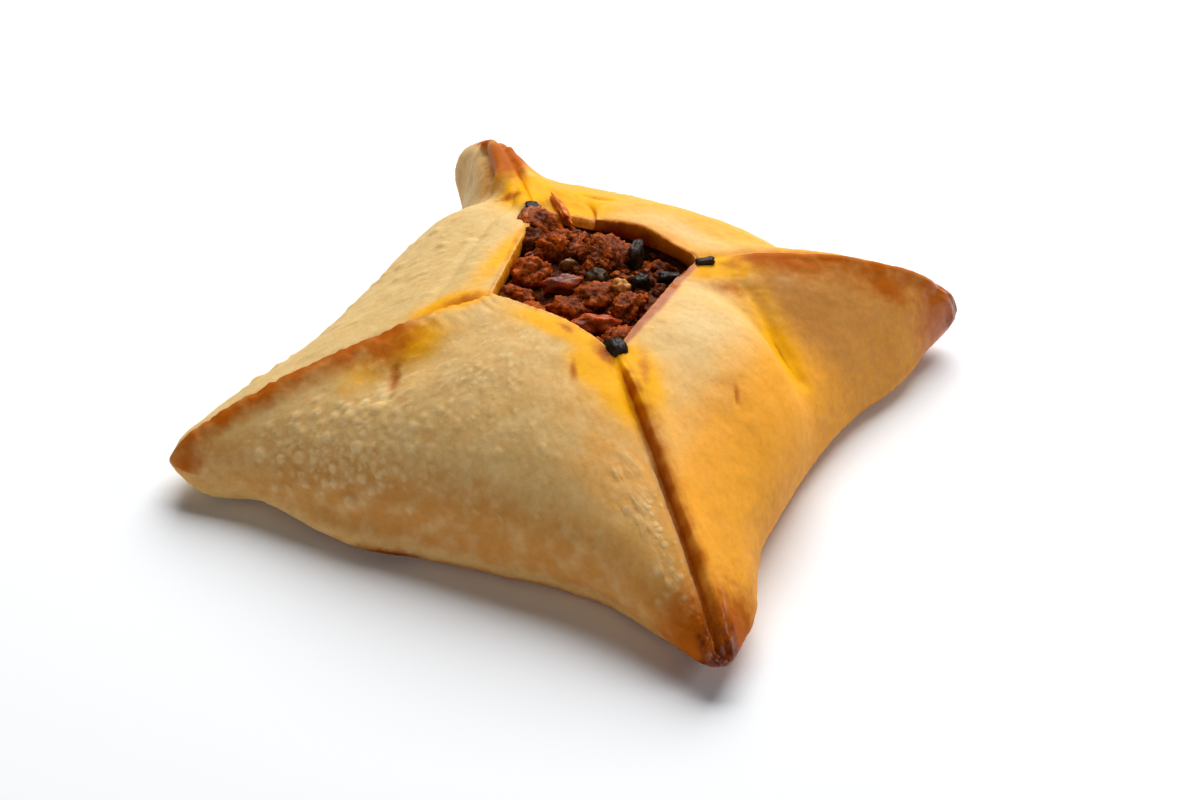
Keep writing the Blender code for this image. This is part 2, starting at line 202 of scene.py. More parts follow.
@dataclass(frozen=True)
class Lap:
    """A seam where one flap's cut edge lies on its neighbour."""
    upper: int                # 1 if the flap after the seam lies on top, -1 if the one before
    height: float
    band_rim: float
    band_tip: float
    groove: float
    ease: float = 0.4         # how much of the seam's relief is lost at the opening's corner
    start: float = -0.6       # level where the relief begins

    def breadth(self, level: float) -> float:
        """Breadth of the cut edge at a level."""
        return self.band_tip + (self.band_rim - self.band_tip) * max(level, 0.0)


class Spot(NamedTuple):
    """A place on the dough: its flap, level and share, and where it lies beside the nearer seam."""
    flap: Flap
    level: float
    share: float
    pinch: Pinch
    beside: float         # distance from the seam, positive on the flap after it
    place: Vector


@dataclass(frozen=True)
class Spread:
    """How the columns of a side stand: some at fixed distances from its corners, the rest between."""
    near: tuple[float, ...]
    between: int
    evenness: float = 0.75

    @property
    def per_side(self) -> int:
        """The number of columns of one side."""
        return 2 * (len(self.near) - 1) + self.between

    def distance(self, column: int, length: float) -> float:
        """How far along a side a column stands.

        Args:
            column: The column's number.
            length: The side's length.

        Returns:
            The distance from the side's start.
        """
        last = len(self.near) - 1
        mirrored = self.per_side - column
        if column <= last:
            return self.near[column]
        if mirrored <= last:
            return length - self.near[mirrored]
        step = (column - last) / (self.per_side - 2 * last)
        eased = self.evenness * step + (1 - self.evenness) * (1 - math.cos(math.pi * step)) / 2
        return self.near[-1] + (length - 2 * self.near[-1]) * eased


@dataclass(frozen=True)
class Cushion:
    """A four-cornered cushion's surface, made of corners and sides.

    A level runs from -1 at the foot over 0 at the widest line to 1 at the rim, and a share from
    -1 to 1 along a side.
    """
    corners: tuple[Corner, ...]
    sides: tuple[Side, ...]
    floor: float
    swells: tuple[Swell, ...] = ()
    bow: float = 2.2              # how squarely a side bows out between its corners
    nose_height: float = 0.22     # the level up to which a tip's nose reaches

    def corner_point(self, index: int, level: float) -> Vector:
        """The place of a level on a corner's ridge line.

        Args:
            index: The corner's number.
            level: The level.

        Returns:
            The place in millimetres.
        """
        corner = self.corners[index]
        tip = Vector((*corner.tip, 0))
        turn = (1 + level if level < 0 else level) * math.pi / 2
        if level < 0:
            point = tip.normalized() * (corner.foot + (tip.length - corner.foot) * math.sin(turn))
            point.z = self.floor + (corner.tip_z - self.floor) * (1 - math.cos(turn))
            return point
        power = 2 / corner.ridge
        point = Vector((*corner.rim, 0)).lerp(tip, math.cos(turn) ** power)
        point.z = corner.tip_z + (corner.rim_z - corner.tip_z) * math.sin(turn) ** power
        return point

    def middle(self, index: int, level: float) -> tuple[float, float]:
        """Where the middle of a side is at a level.

        Args:
            index: The side's number.
            level: The level.

        Returns:
            How far out it is, and how high.
        """
        side = self.sides[index]
        turn = (1 + level if level < 0 else level) * math.pi / 2
        if level < 0:
            return (side.foot + (side.wide - side.foot) * math.sin(turn),
                    self.floor + (side.wide_z - self.floor) * (1 - math.cos(turn)))
        power = 2 / side.dome
        return (side.rim + (side.wide - side.rim) * math.cos(turn) ** power,
                side.wide_z + (side.rim_z - side.wide_z) * math.sin(turn) ** power)

    def ring(self, level: float, spread: Spread) -> list[Spot]:
        """The places of one level, all the way round.

        Args:
            level: The level of the ring.
            spread: How its columns stand.

        Returns:
            One spot for each column, counter-clockwise from the left pinch.
        """
        points = [self.corner_point(index, level) for index in range(SIDES)]
        spots = []
        for flap in Flap:
            start, end = points[flap.value], points[(flap.value + 1) % SIDES]
            length = (end - start).xy.length
            reach, height = self.middle(flap.value, level)
            for column in range(spread.per_side):
                distance = spread.distance(column, length)
                share = 2 * distance / length - 1
                place = self.place(flap, level, share, (start, end), (reach, height))
                after = share < 0
                pinch = Pinch(flap.value if after else (flap.value + 1) % SIDES)
                beside = distance if after else distance - length
                spots.append(Spot(flap, level, share, pinch, beside, place))
        return spots

    def at(self, flap: Flap, level: float, share: float) -> Vector:
        """The place of a level and share on a side."""
        ends = self.corner_point(flap.value, level), self.corner_point((flap.value + 1) % SIDES, level)
        return self.place(flap, level, share, ends, self.middle(flap.value, level))

    def place(self, flap: Flap, level: float, share: float, ends: tuple[Vector, Vector],
              middle: tuple[float, float]) -> Vector:
        """A place on the surface.

        Args:
            flap: The side it is on.
            level: Its level.
            share: Its share along the side.
            ends: The side's two corners at this level.
            middle: How far out and how high the side's middle is.

        Returns:
            The place in millimetres.
        """
        start, end = ends
        outward = Vector((*self.sides[flap.value].normal, 0))
        along = Vector((-outward.y, outward.x, 0))
        chord = (start + end) / 2
        sag = outward * (middle[0] - chord.dot(outward)) + Vector((0, 0, middle[1] - chord.z))
        point = start.lerp(end, (1 + share) / 2) + sag * (1 - abs(share) ** self.bow)
        for swell in self.swells:
            if swell.flap is flap:
                amount = swell.amount(level, share)
                point += outward * swell.out * amount
                point.z += swell.up * amount
        point += self.rounding(flap, level, share, (end - start).xy.length / 2, along, outward)
        point.z = max(point.z, self.floor)
        return point

    def rounding(self, flap: Flap, level: float, share: float, half: float, along: Vector,
                 outward: Vector) -> Vector:
        """The step that rounds a ring off beside a corner.

        Args:
            flap: The side that the place is on.
            level: Its level.
            share: Its share along the side.
            half: Half the side's length at this level.
            along: The side's direction.
            outward: The direction out of the side.

        Returns:
            The step, of no length away from the corners.
        """
        corner = self.corners[flap.value if share < 0 else (flap.value + 1) % SIDES]
        radius = corner.crest + (corner.nose - corner.crest) * bump(max(level, 0.0), self.nose_height)
        radius = min(radius, 0.9 * half)
        distance = (1 - abs(share)) * half
        if distance >= radius:
            return Vector()
        turn = math.pi / 4 * (1 - distance / radius)
        inward = along if share < 0 else -along
        return inward * (radius * (1 - math.sin(turn)) - distance) - outward * radius * (1 - math.cos(turn))


@dataclass(frozen=True)
class Mound:
    """A round rise or hollow of the heap, seen from above."""
    x: float
    y: float
    height: float
    spread: float

    def at(self, x: float, y: float) -> float:
        """Its height over a place in plan."""
        return self.height * bump(math.hypot(x - self.x, y - self.y), self.spread)


@dataclass(frozen=True)
class PastryForm:
    """The named sizes of the pastry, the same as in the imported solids."""
    corners: tuple[Corner, ...] = (
        Corner((-49.5, -48.0), 6.0, 48.0, (-10.0, -11.5), 26.5, 1.2, 9.0, 2.6),
        Corner((51.0, -51.0), 5.5, 50.0, (14.0, -14.5), 26.0, 1.2, 5.0, 2.2),
        Corner((46.0, 48.5), 6.5, 48.0, (14.5, 14.5), 26.5, 1.6, 4.2, 2.6),
        Corner((-43.0, 46.5), 9.5, 46.0, (-16.5, 16.0), 25.5, 2.1, 6.0, 3.0),
    )
    sides: tuple[Side, ...] = (
        Side((0, -1), 43.5, 6.0, 40.5, 12.0, 28.0, 2.2),
        Side((1, 0), 40.5, 6.0, 37.0, 13.6, 27.0, 2.1),
        Side((0, 1), 41.0, 6.0, 37.0, 17.0, 27.0, 1.85),
        Side((-1, 0), 39.8, 6.0, 36.5, 13.0, 26.5, 1.9),
    )
    swells: tuple[Swell, ...] = (
        Swell(Flap.FRONT, -0.36, 0.28, -0.60, 0.75, 4.2),
        Swell(Flap.FRONT, -0.86, 0.12, -0.40, 0.50, 1.8, -0.6),
        Swell(Flap.FRONT, 0.50, 0.30, -0.35, 0.60, -3.4),
        Swell(Flap.FRONT, -0.57, 0.12, 0.60, 0.14, -1.0, -0.9),
        Swell(Flap.RIGHT, -0.72, 0.18, -0.10, 0.45, 2.8),
        Swell(Flap.RIGHT, 0.66, 0.18, -0.40, 0.45, 2.2),
        Swell(Flap.RIGHT, 0.14, 0.13, 0.48, 0.36, -3.8, -2.5, 0.30, 0.45),
        Swell(Flap.RIGHT, -0.20, 0.28, 0.42, 0.45, 1.6, 1.0),
        Swell(Flap.LEFT, -0.88, 0.09, -0.05, 0.36, 4.0, 2.4),
        Swell(Flap.LEFT, 0.74, 0.20, 0.05, 0.45, 1.4, 0.2),
        Swell(Flap.LEFT, -0.55, 0.16, 0.35, 0.45, -3.5, -1.5),
        Swell(Flap.BACK, 0.66, 0.20, 0.40, 0.40, -3.0, -1.2),
        Swell(Flap.BACK, -0.62, 0.20, 0.40, 0.40, -2.5, -1.0),
        Swell(Flap.BACK, -0.25, 0.25, 0.75, 0.40, 0.0, 0.9),
        Swell(Flap.BACK, 0.35, 0.20, 0.75, 0.40, 0.0, -0.9),
    )
    laps: tuple[Lap, ...] = (
        Lap(1, 1.5, 1.0, 1.2, 0.5),
        Lap(1, 1.5, 0.3, 3.0, 0.7, 0.9),
        Lap(-1, 0.5, 0.9, 1.2, 0.4, 0.4, 0.15),
        Lap(1, 0.4, 1.6, 1.8, 0.5),
    )
    edge: float = 2.6
    floor: float = 3.0
    gap: float = 0.45
    pocket_tip: float = 0.66
    pocket_foot: float = 0.84
    pocket_wall: float = 6.0
    pocket_ridge: float = 1.25
    pocket_dome: float = 1.9
    pocket_level: float = 8.5
    pocket_nose: float = 12.0
    pocket_crest: float = 4.0
    pocket_rim: float = 0.4
    corner_inset: float = 1.4
    heap_rise: float = 23.5
    mounds: tuple[Mound, ...] = (Mound(3, 3, 2.2, 9.0), Mound(-6, -3, -0.8, 7.0))
    heap_roll: float = 0.45
    lap_spread: float = 4.5
    lap_full: float = 0.5

    def dough(self) -> Cushion:
        """The dough's outer surface."""
        return Cushion(self.corners, self.sides, 0.0, self.swells)

    def pocket(self, inset: float) -> Cushion:
        """The pocket under the flaps.

        Args:
            inset: How far the surface stays inside the pocket's wall.

        Returns:
            The surface of the pocket, or of what fills it.
        """
        corners = []
        for corner in self.corners:
            tip = Vector((*corner.tip, 0)) * self.pocket_tip
            tip -= tip.normalized() * inset * self.corner_inset
            rim = Vector((*corner.rim, 0))
            rim -= rim.normalized() * (self.pocket_rim + inset * self.corner_inset)
            corners.append(replace(corner, tip=tuple(tip.xy), tip_z=self.pocket_level, rim=tuple(rim.xy),
                                   foot=tip.length * self.pocket_foot,
                                   nose=self.pocket_nose, crest=self.pocket_crest,
                                   rim_z=corner.rim_z - self.edge - inset, ridge=self.pocket_ridge))
        sides = []
        for side in self.sides:
            wide = side.wide - self.pocket_wall - inset
            sides.append(replace(side, wide=wide, wide_z=self.pocket_level, foot=wide * self.pocket_foot,
                                 rim=side.rim - self.pocket_rim - inset, rim_z=side.rim_z - self.edge - inset,
                                 dome=self.pocket_dome))
        return Cushion(tuple(corners), tuple(sides), self.floor + inset)

    def heap_height(self, x: float, y: float) -> float:
        """Height of the bare heap over a place in plan."""
        lift = sum(mound.at(x, y) for mound in self.mounds)
        return self.heap_rise + lift + self.heap_roll * noise.noise(Vector((x, y, 0)) / 2.6)


class Painter:
    """Builds a material's node tree, with short calls for the nodes that food needs."""

    def __init__(self, name: str) -> None:
        """Starts a material with a Principled shader.

        Args:
            name: The material's name.
        """
        self.material = bpy.data.materials.new(name)
        self.material.use_nodes = True
        self.tree = self.material.node_tree
        self.shader = self.tree.nodes["Principled BSDF"]
        self.coords = self.tree.nodes.new("ShaderNodeTexCoord")

    def node(self, kind: str, **values: object) -> bpy.types.Node:
        """Adds a node.

        Args:
            kind: The node's type.
            values: Its properties.

        Returns:
            The new node.
        """
        made = self.tree.nodes.new(kind)
        for key, value in values.items():
            setattr(made, key, value)
        return made

    def feed(self, socket: bpy.types.NodeSocket, value: object) -> None:
        """Links a socket to another, or sets it to a constant.

        Args:
            socket: The socket that takes the value.
            value: A socket or a constant.
        """
        if isinstance(value, bpy.types.NodeSocket):
            self.tree.links.new(value, socket)
        else:
            socket.default_value = value

    def dress(self, values: dict[str, object]) -> bpy.types.Material:
        """Feeds the shader.

        Args:
            values: What each of the shader's sockets takes, by the socket's name.

        Returns:
            The finished material.
        """
        for name, value in values.items():
            self.feed(self.shader.inputs[name], value)
        return self.material

    def mask(self, name: str) -> bpy.types.NodeSocket:
        """A mask that the piece's vertices hold."""
        return self.node("ShaderNodeAttribute", attribute_name=name).outputs["Fac"]

    def math(self, operation: str, first: object, second: object = 0.0) -> bpy.types.NodeSocket:
        """Arithmetic on two values.

        Args:
            operation: What is done with them.
            first: The first value.
            second: The second value.

        Returns:
            The result, clamped to 0 and 1.
        """
        made = self.node("ShaderNodeMath", operation=operation, use_clamp=True)
        self.feed(made.inputs[0], first)
        self.feed(made.inputs[1], second)
        return made.outputs[0]

    def noise(self, size: float, detail: float = 3.0, roughness: float = 0.55) -> bpy.types.NodeSocket:
        """Soft noise.

        Args:
            size: Its features' size in millimetres.
            detail: How many finer layers it has.
            roughness: How strong the finer layers are.

        Returns:
            The noise, from 0 to 1.
        """
        made = self.node("ShaderNodeTexNoise")
        self.feed(made.inputs["Vector"], self.coords.outputs["Object"])
        self.feed(made.inputs["Scale"], 1 / (size * MM))
        self.feed(made.inputs["Detail"], detail)
        self.feed(made.inputs["Roughness"], roughness)
        return made.outputs["Fac"]

    def cells(self, size: float) -> bpy.types.NodeSocket:
        """Round cells.

        Args:
            size: Their size in millimetres.

        Returns:
            The distance from the middle of the nearest cell, in cells.
        """
        made = self.node("ShaderNodeTexVoronoi")
        self.feed(made.inputs["Vector"], self.coords.outputs["Object"])
        self.feed(made.inputs["Scale"], 1 / (size * MM))
        return made.outputs["Distance"]

    def ramp(self, value: bpy.types.NodeSocket, low: float, high: float, start: float = 0.0,
             end: float = 1.0) -> bpy.types.NodeSocket:
        """Maps one range onto another, easing at both ends.

        Args:
            value: The value.
            low: Where its range starts.
            high: Where its range ends.
            start: What low becomes.
            end: What high becomes.

        Returns:
            The mapped value.
        """
        made = self.node("ShaderNodeMapRange", interpolation_type="SMOOTHSTEP")
        self.feed(made.inputs["Value"], value)
        for key, number in (("From Min", low), ("From Max", high), ("To Min", start), ("To Max", end)):
            self.feed(made.inputs[key], number)
        return made.outputs["Result"]

    def mix(self, share: object, first: object, second: object, blend: str = "MIX") -> bpy.types.NodeSocket:
        """Mixes two colours.

        Args:
            share: How much of the second colour there is.
            first: The colour below.
            second: The colour above.
            blend: The way that they mix.

        Returns:
            The mixed colour.
        """
        made = self.node("ShaderNodeMix", data_type="RGBA", blend_type=blend)
        factor, below, above = [made.inputs[index] for index in (0, 6, 7)]
        self.feed(factor, share)
        self.feed(below, first)
        self.feed(above, second)
        return made.outputs[2]

    def shaded(self, tone: object, light: bpy.types.NodeSocket) -> bpy.types.NodeSocket:
        """Makes a colour lighter or darker.

        Args:
            tone: The colour.
            light: What its channels are multiplied by.

        Returns:
            The shaded colour.
        """
        grey = self.node("ShaderNodeCombineColor")
        for channel in grey.inputs:
            self.feed(channel, light)
        return self.mix(1.0, tone, grey.outputs[0], "MULTIPLY")

    def broken(self, mask: bpy.types.NodeSocket, grain: bpy.types.NodeSocket, depth: float,
               sharp: float) -> bpy.types.NodeSocket:
        """A mask whose edge is broken up by noise.

        Args:
            mask: The smooth mask.
            grain: The noise.
            depth: How far the noise shifts the edge.
            sharp: How sharp the edge becomes, 1 for not at all.

        Returns:
            The broken mask.
        """
        middle, full = 0.5, 0.35
        shift = self.node("ShaderNodeMath", operation="MULTIPLY_ADD", use_clamp=False)
        self.feed(shift.inputs[0], grain)
        self.feed(shift.inputs[1], depth)
        self.feed(shift.inputs[2], -depth / 2)
        total = self.node("ShaderNodeMath", operation="MULTIPLY_ADD", use_clamp=False)
        self.feed(total.inputs[0], shift.outputs[0])
        self.feed(total.inputs[1], self.ramp(mask, 0.0, full))
        self.feed(total.inputs[2], mask)
        return self.ramp(total.outputs[0], middle - middle / sharp, middle + middle / sharp)

    def relief(self, height: bpy.types.NodeSocket, strength: float, depth: float,
               below: Optional[bpy.types.NodeSocket] = None) -> bpy.types.NodeSocket:
        """Fine relief from a height.

        Args:
            height: The height.
            strength: How much of it shows.
            depth: Its depth in millimetres.
            below: The relief that it lies on.

        Returns:
            The normal.
        """
        made = self.node("ShaderNodeBump")
        self.feed(made.inputs["Strength"], strength)
        self.feed(made.inputs["Distance"], depth * MM)
        self.feed(made.inputs["Height"], height)
        if below is not None:
            self.feed(made.inputs["Normal"], below)
        return made.outputs["Normal"]


@dataclass(frozen=True)
class DoughFinish:
    """Baked wheat dough: pale and floury where it rose, golden, tanned and browned elsewhere, with painted
    shade in its tan and painted highlights in its pale mask.
    """
    name: str = "baked_dough"
    pale: tuple = linear(224, 190, 126)
    floury: tuple = linear(240, 213, 158)
    gold: tuple = linear(250, 170, 54)
    tan_and_painted_shade: tuple = linear(202, 138, 66)
    oil: tuple = linear(248, 176, 14)
    freckle: tuple = linear(206, 126, 44)
    brown: tuple = linear(180, 90, 3)
    dark: tuple = linear(98, 32, 4)
    roughness: float = 0.56
    oily: float = 0.3
    specular: float = 0.05
    coat: float = 0.7
    coat_roughness: float = 0.22
    translucent: float = 0.12
    bleed: tuple = (1.0, 0.5, 0.25)
    bleed_depth: float = 1.5
    patches: tuple[float, float, float] = (6.0, 1.9, 0.6)
    flour_patch: float = 3.2
    flour_most: float = 0.28
    pebble: float = 1.45
    freckle_size: float = 1.1
    freckle_most: float = 0.26
    mottle: tuple[float, float] = (0.94, 1.06)

    def material(self) -> bpy.types.Material:
        """Builds the material.

        Returns:
            The dough's material.
        """
        paint = Painter(self.name)
        coarse = paint.noise(self.patches[0], 4)
        medium = paint.noise(self.patches[1], 4, 0.6)
        fine = paint.noise(self.patches[2], 3)
        pebbles = paint.ramp(paint.cells(self.pebble), 0.10, 0.52, 1.0, 0.0)
        pebbles = paint.math("MULTIPLY", pebbles, paint.mask("pebbled"))
        oil, gloss = paint.mask("oil"), paint.mask("gloss")
        wet = paint.math("MAXIMUM", gloss, paint.math("MULTIPLY", oil, 0.5))
        grain = paint.relief(pebbles, 0.75, 0.18, paint.relief(paint.noise(0.35, 3), 0.35, 0.05))
        return paint.dress({
            "Base Color": self.tone(paint, (coarse, medium, fine), pebbles, oil),
            "Roughness": paint.ramp(wet, 0.0, 1.0, self.roughness, self.oily),
            "Subsurface Weight": self.translucent,
            "Subsurface Radius": self.bleed,
            "Subsurface Scale": self.bleed_depth * MM,
            "Specular IOR Level": self.specular,
            "Coat Weight": paint.math("MULTIPLY", gloss, self.coat),
            "Coat Roughness": self.coat_roughness,
            "Normal": paint.relief(paint.noise(1.3, 4, 0.6), 0.5, 0.14, grain),
        })

    def tone(self, paint: Painter, noises: tuple, pebbles: bpy.types.NodeSocket,
             oil: bpy.types.NodeSocket) -> bpy.types.NodeSocket:
        """Lays the dough's colours over each other.

        Args:
            paint: The material's painter.
            noises: The coarse, medium and fine noise.
            pebbles: The pale pebbles of the skin.
            oil: The mask of the oil stains.

        Returns:
            The dough's colour.
        """
        coarse, medium, fine = noises
        golden = paint.broken(paint.mask("gold"), coarse, 0.5, 1.2)
        flour = paint.ramp(paint.noise(self.flour_patch, 3, 0.5), 0.40, 0.75, 0.0, self.flour_most)
        flour = paint.math("MULTIPLY", flour, paint.ramp(golden, 0.2, 0.8, 1.0, 0.15))
        freckles = paint.ramp(paint.noise(self.freckle_size, 4, 0.7), 0.56, 0.70)
        layers = (
            (golden, self.gold),
            # tan, with painted shade on the lower front flap
            (paint.broken(paint.mask("tan_and_painted_shade"), medium, 0.6, 1.1), self.tan_and_painted_shade),
            (flour, self.floury),
            # pale dough, with painted highlights along the left and back crests and on the right flap
            (paint.mask("pale"), self.floury),
            (paint.math("MULTIPLY", pebbles, 0.6), self.floury),
            (paint.math("MULTIPLY", freckles, self.freckle_most), self.freckle),
            (paint.broken(oil, medium, 0.45, 1.0), self.oil),
            (paint.broken(paint.mask("brown"), medium, 0.7, 1.1), self.brown),
            (paint.broken(paint.mask("burn"), fine, 0.7, 1.3), self.dark),
        )
        tone = self.pale
        for amount, colour in layers:
            tone = paint.mix(amount, tone, colour)
        return paint.shaded(tone, paint.ramp(paint.noise(1.0, 4, 0.7), 0.25, 0.75, *self.mottle))


@dataclass(frozen=True)
class MorselFinish:
    """A cooked morsel: two tones mixed by noise, moist or dry, with a fine grain, darker in its hollows and
    lighter on its ridges as painted shade and painted highlights.
    """
    name: str
    deep: tuple
    light: tuple
    patch: float
    roughness: float
    depth: float
    specular: float = 0.5
    translucent: float = 0.0
    accent: tuple = (0.0, 0.0, 0.0, 1.0)
    accents: float = 0.0
    bleed: tuple = (1.0, 0.35, 0.15)
    bleed_depth: float = 1.2
    darkest: float = 0.30         # what the painted shade in the hollows and the darkest morsels are multiplied by
    # what the painted highlights on the ridges and the lightest morsels are multiplied by
    lightest: float = 1.35

    def material(self) -> bpy.types.Material:
        """Builds the material.

        Returns:
            The morsel's material.
        """
        paint = Painter(self.name)
        patches = paint.noise(self.patch, 4, 0.65)
        speck = paint.noise(self.patch * 0.4, 3, 0.6)
        tone = paint.mix(paint.ramp(patches, 0.35, 0.68), self.deep, self.light)
        specks = paint.math("MULTIPLY", paint.ramp(speck, 0.56, 0.7), self.accents)
        tone = paint.mix(specks, tone, self.accent)
        # Each morsel's own tone, with painted shade in its hollows and painted highlights on its ridges
        own = paint.ramp(paint.mask("shade"), 0.0, 1.0, self.darkest, self.lightest)
        coarse = paint.relief(paint.cells(self.patch * 0.6), 0.6, self.depth)
        return paint.dress({
            "Base Color": paint.shaded(tone, own),
            "Roughness": paint.ramp(speck, 0.3, 0.7, self.roughness - 0.12, self.roughness + 0.15),
            "Specular IOR Level": self.specular,
            "Subsurface Weight": self.translucent,
            "Subsurface Radius": self.bleed,
            "Subsurface Scale": self.bleed_depth * MM,
            "Normal": paint.relief(speck, 0.7, self.depth * 0.6, coarse),
        })


FINISHES: dict[Bit, MorselFinish] = {
    Bit.MINCE: MorselFinish("browned_mince", linear(102, 34, 5), linear(184, 84, 18), 1.1, 0.42, 0.26,
                            0.07, 0.05, linear(232, 130, 36), 0.6),
    Bit.TOMATO: MorselFinish("cooked_tomato", linear(154, 44, 4), linear(218, 100, 20), 1.6, 0.36, 0.12,
                             0.25, 0.2, linear(220, 140, 60), 0.5),
    Bit.ONION: MorselFinish("cooked_onion", linear(160, 88, 28), linear(214, 150, 70), 1.2, 0.36, 0.1,
                            0.25, 0.25, linear(120, 56, 20), 0.5),
    Bit.HERB: MorselFinish("dried_herb", linear(38, 22, 8), linear(92, 66, 30), 0.9, 0.5, 0.12,
                           0.15, 0.0, linear(70, 34, 16), 0.6),
    Bit.CHAR: MorselFinish("charred_crumb", linear(24, 14, 8), linear(54, 38, 26), 0.8, 0.40, 0.18,
                           0.18, 0.0, linear(98, 70, 46), 0.35),
    Bit.CRUST: MorselFinish("browned_crust", linear(172, 76, 12), linear(226, 128, 38), 1.1, 0.42, 0.12,
                            0.2, 0.1, linear(214, 130, 50), 0.4),
}


@dataclass(frozen=True)
class Stain:
    """A soft oval patch of a tint, seen from above, on one flap or on all of them."""
    tint: Tint
    x: float
    y: float
    long: float
    wide: float
    degrees: float
    amount: float
    flap: Optional[Flap] = None

    def at(self, spot: Spot) -> float:
        """How strong the stain is at a place.

        Args:
            spot: A place on the dough.

        Returns:
            The amount, from 0 to 1.
        """
        if self.flap is not None and spot.flap is not self.flap:
            return 0.0
        turn = math.radians(self.degrees)
        dx, dy = spot.place.x - self.x, spot.place.y - self.y
        along = dx * math.cos(turn) + dy * math.sin(turn)
        across = dy * math.cos(turn) - dx * math.sin(turn)
        return min(1.0, self.amount * math.exp(-(along / self.long) ** 2 - (across / self.wide) ** 2))


@dataclass(frozen=True)
class Crease:
    """A fold line on one flap, from one place in plan to another, with a lip on its right."""
    flap: Flap
    start: tuple[float, float]
    end: tuple[float, float]
    depth: float
    spread: float
    lip: float = 0.0

    def lift(self, spot: Spot) -> float:
        """How far the fold lifts the surface at a place.

        Args:
            spot: A place on the dough.

        Returns:
            The lift in millimetres, below 0 in the fold.
        """
        if spot.flap is not self.flap:
            return 0.0
        start = Vector(self.start)
        course = Vector(self.end) - start
        offset = spot.place.xy - start
        share = max(0.0, min(1.0, offset.dot(course) / course.length_squared))
        away = offset - course * share
        side = 1 if course.cross(offset) < 0 else -1
        distance = away.length * side
        lip = self.lip * bump(distance - 1.8 * self.spread, 1.2 * self.spread)
        return lip - self.depth * bump(distance, self.spread)


class Blister(NamedTuple):
    """A small round blister in the dough's skin."""
    place: Vector
    radius: float
    paleness: float


@dataclass(frozen=True)
class Cluster:
    """A place where blisters stand close together."""
    flap: Flap
    level: float
    level_spread: float
    share: float
    share_spread: float
    count: int
    smallest: float
    largest: float
    paleness: float = 0.75
    closeness: float = 0.76       # how near two may stand, 1 for side by side

    def scatter(self, surface: Cushion, draw: random.Random) -> list[Blister]:
        """Places the blisters, side by side.

        Args:
            surface: The surface that they rise from.
            draw: Where the random numbers come from.

        Returns:
            The blisters that found room.
        """
        found: list[Blister] = []
        for _ in range(3 * self.count):
            level = draw.gauss(self.level, self.level_spread)
            share = draw.gauss(self.share, self.share_spread)
            radius = self.smallest + (self.largest - self.smallest) * draw.random() ** 2
            paleness = self.paleness * draw.uniform(0.5, 1.0)
            if not 0.0 < level < 0.97 or abs(share) > 0.97:
                continue
            place = surface.at(self.flap, level, share)
            if all((place - other.place).length > self.closeness * (radius + other.radius)
                   for other in found):
                found.append(Blister(place, radius, paleness))
        return found[:self.count]


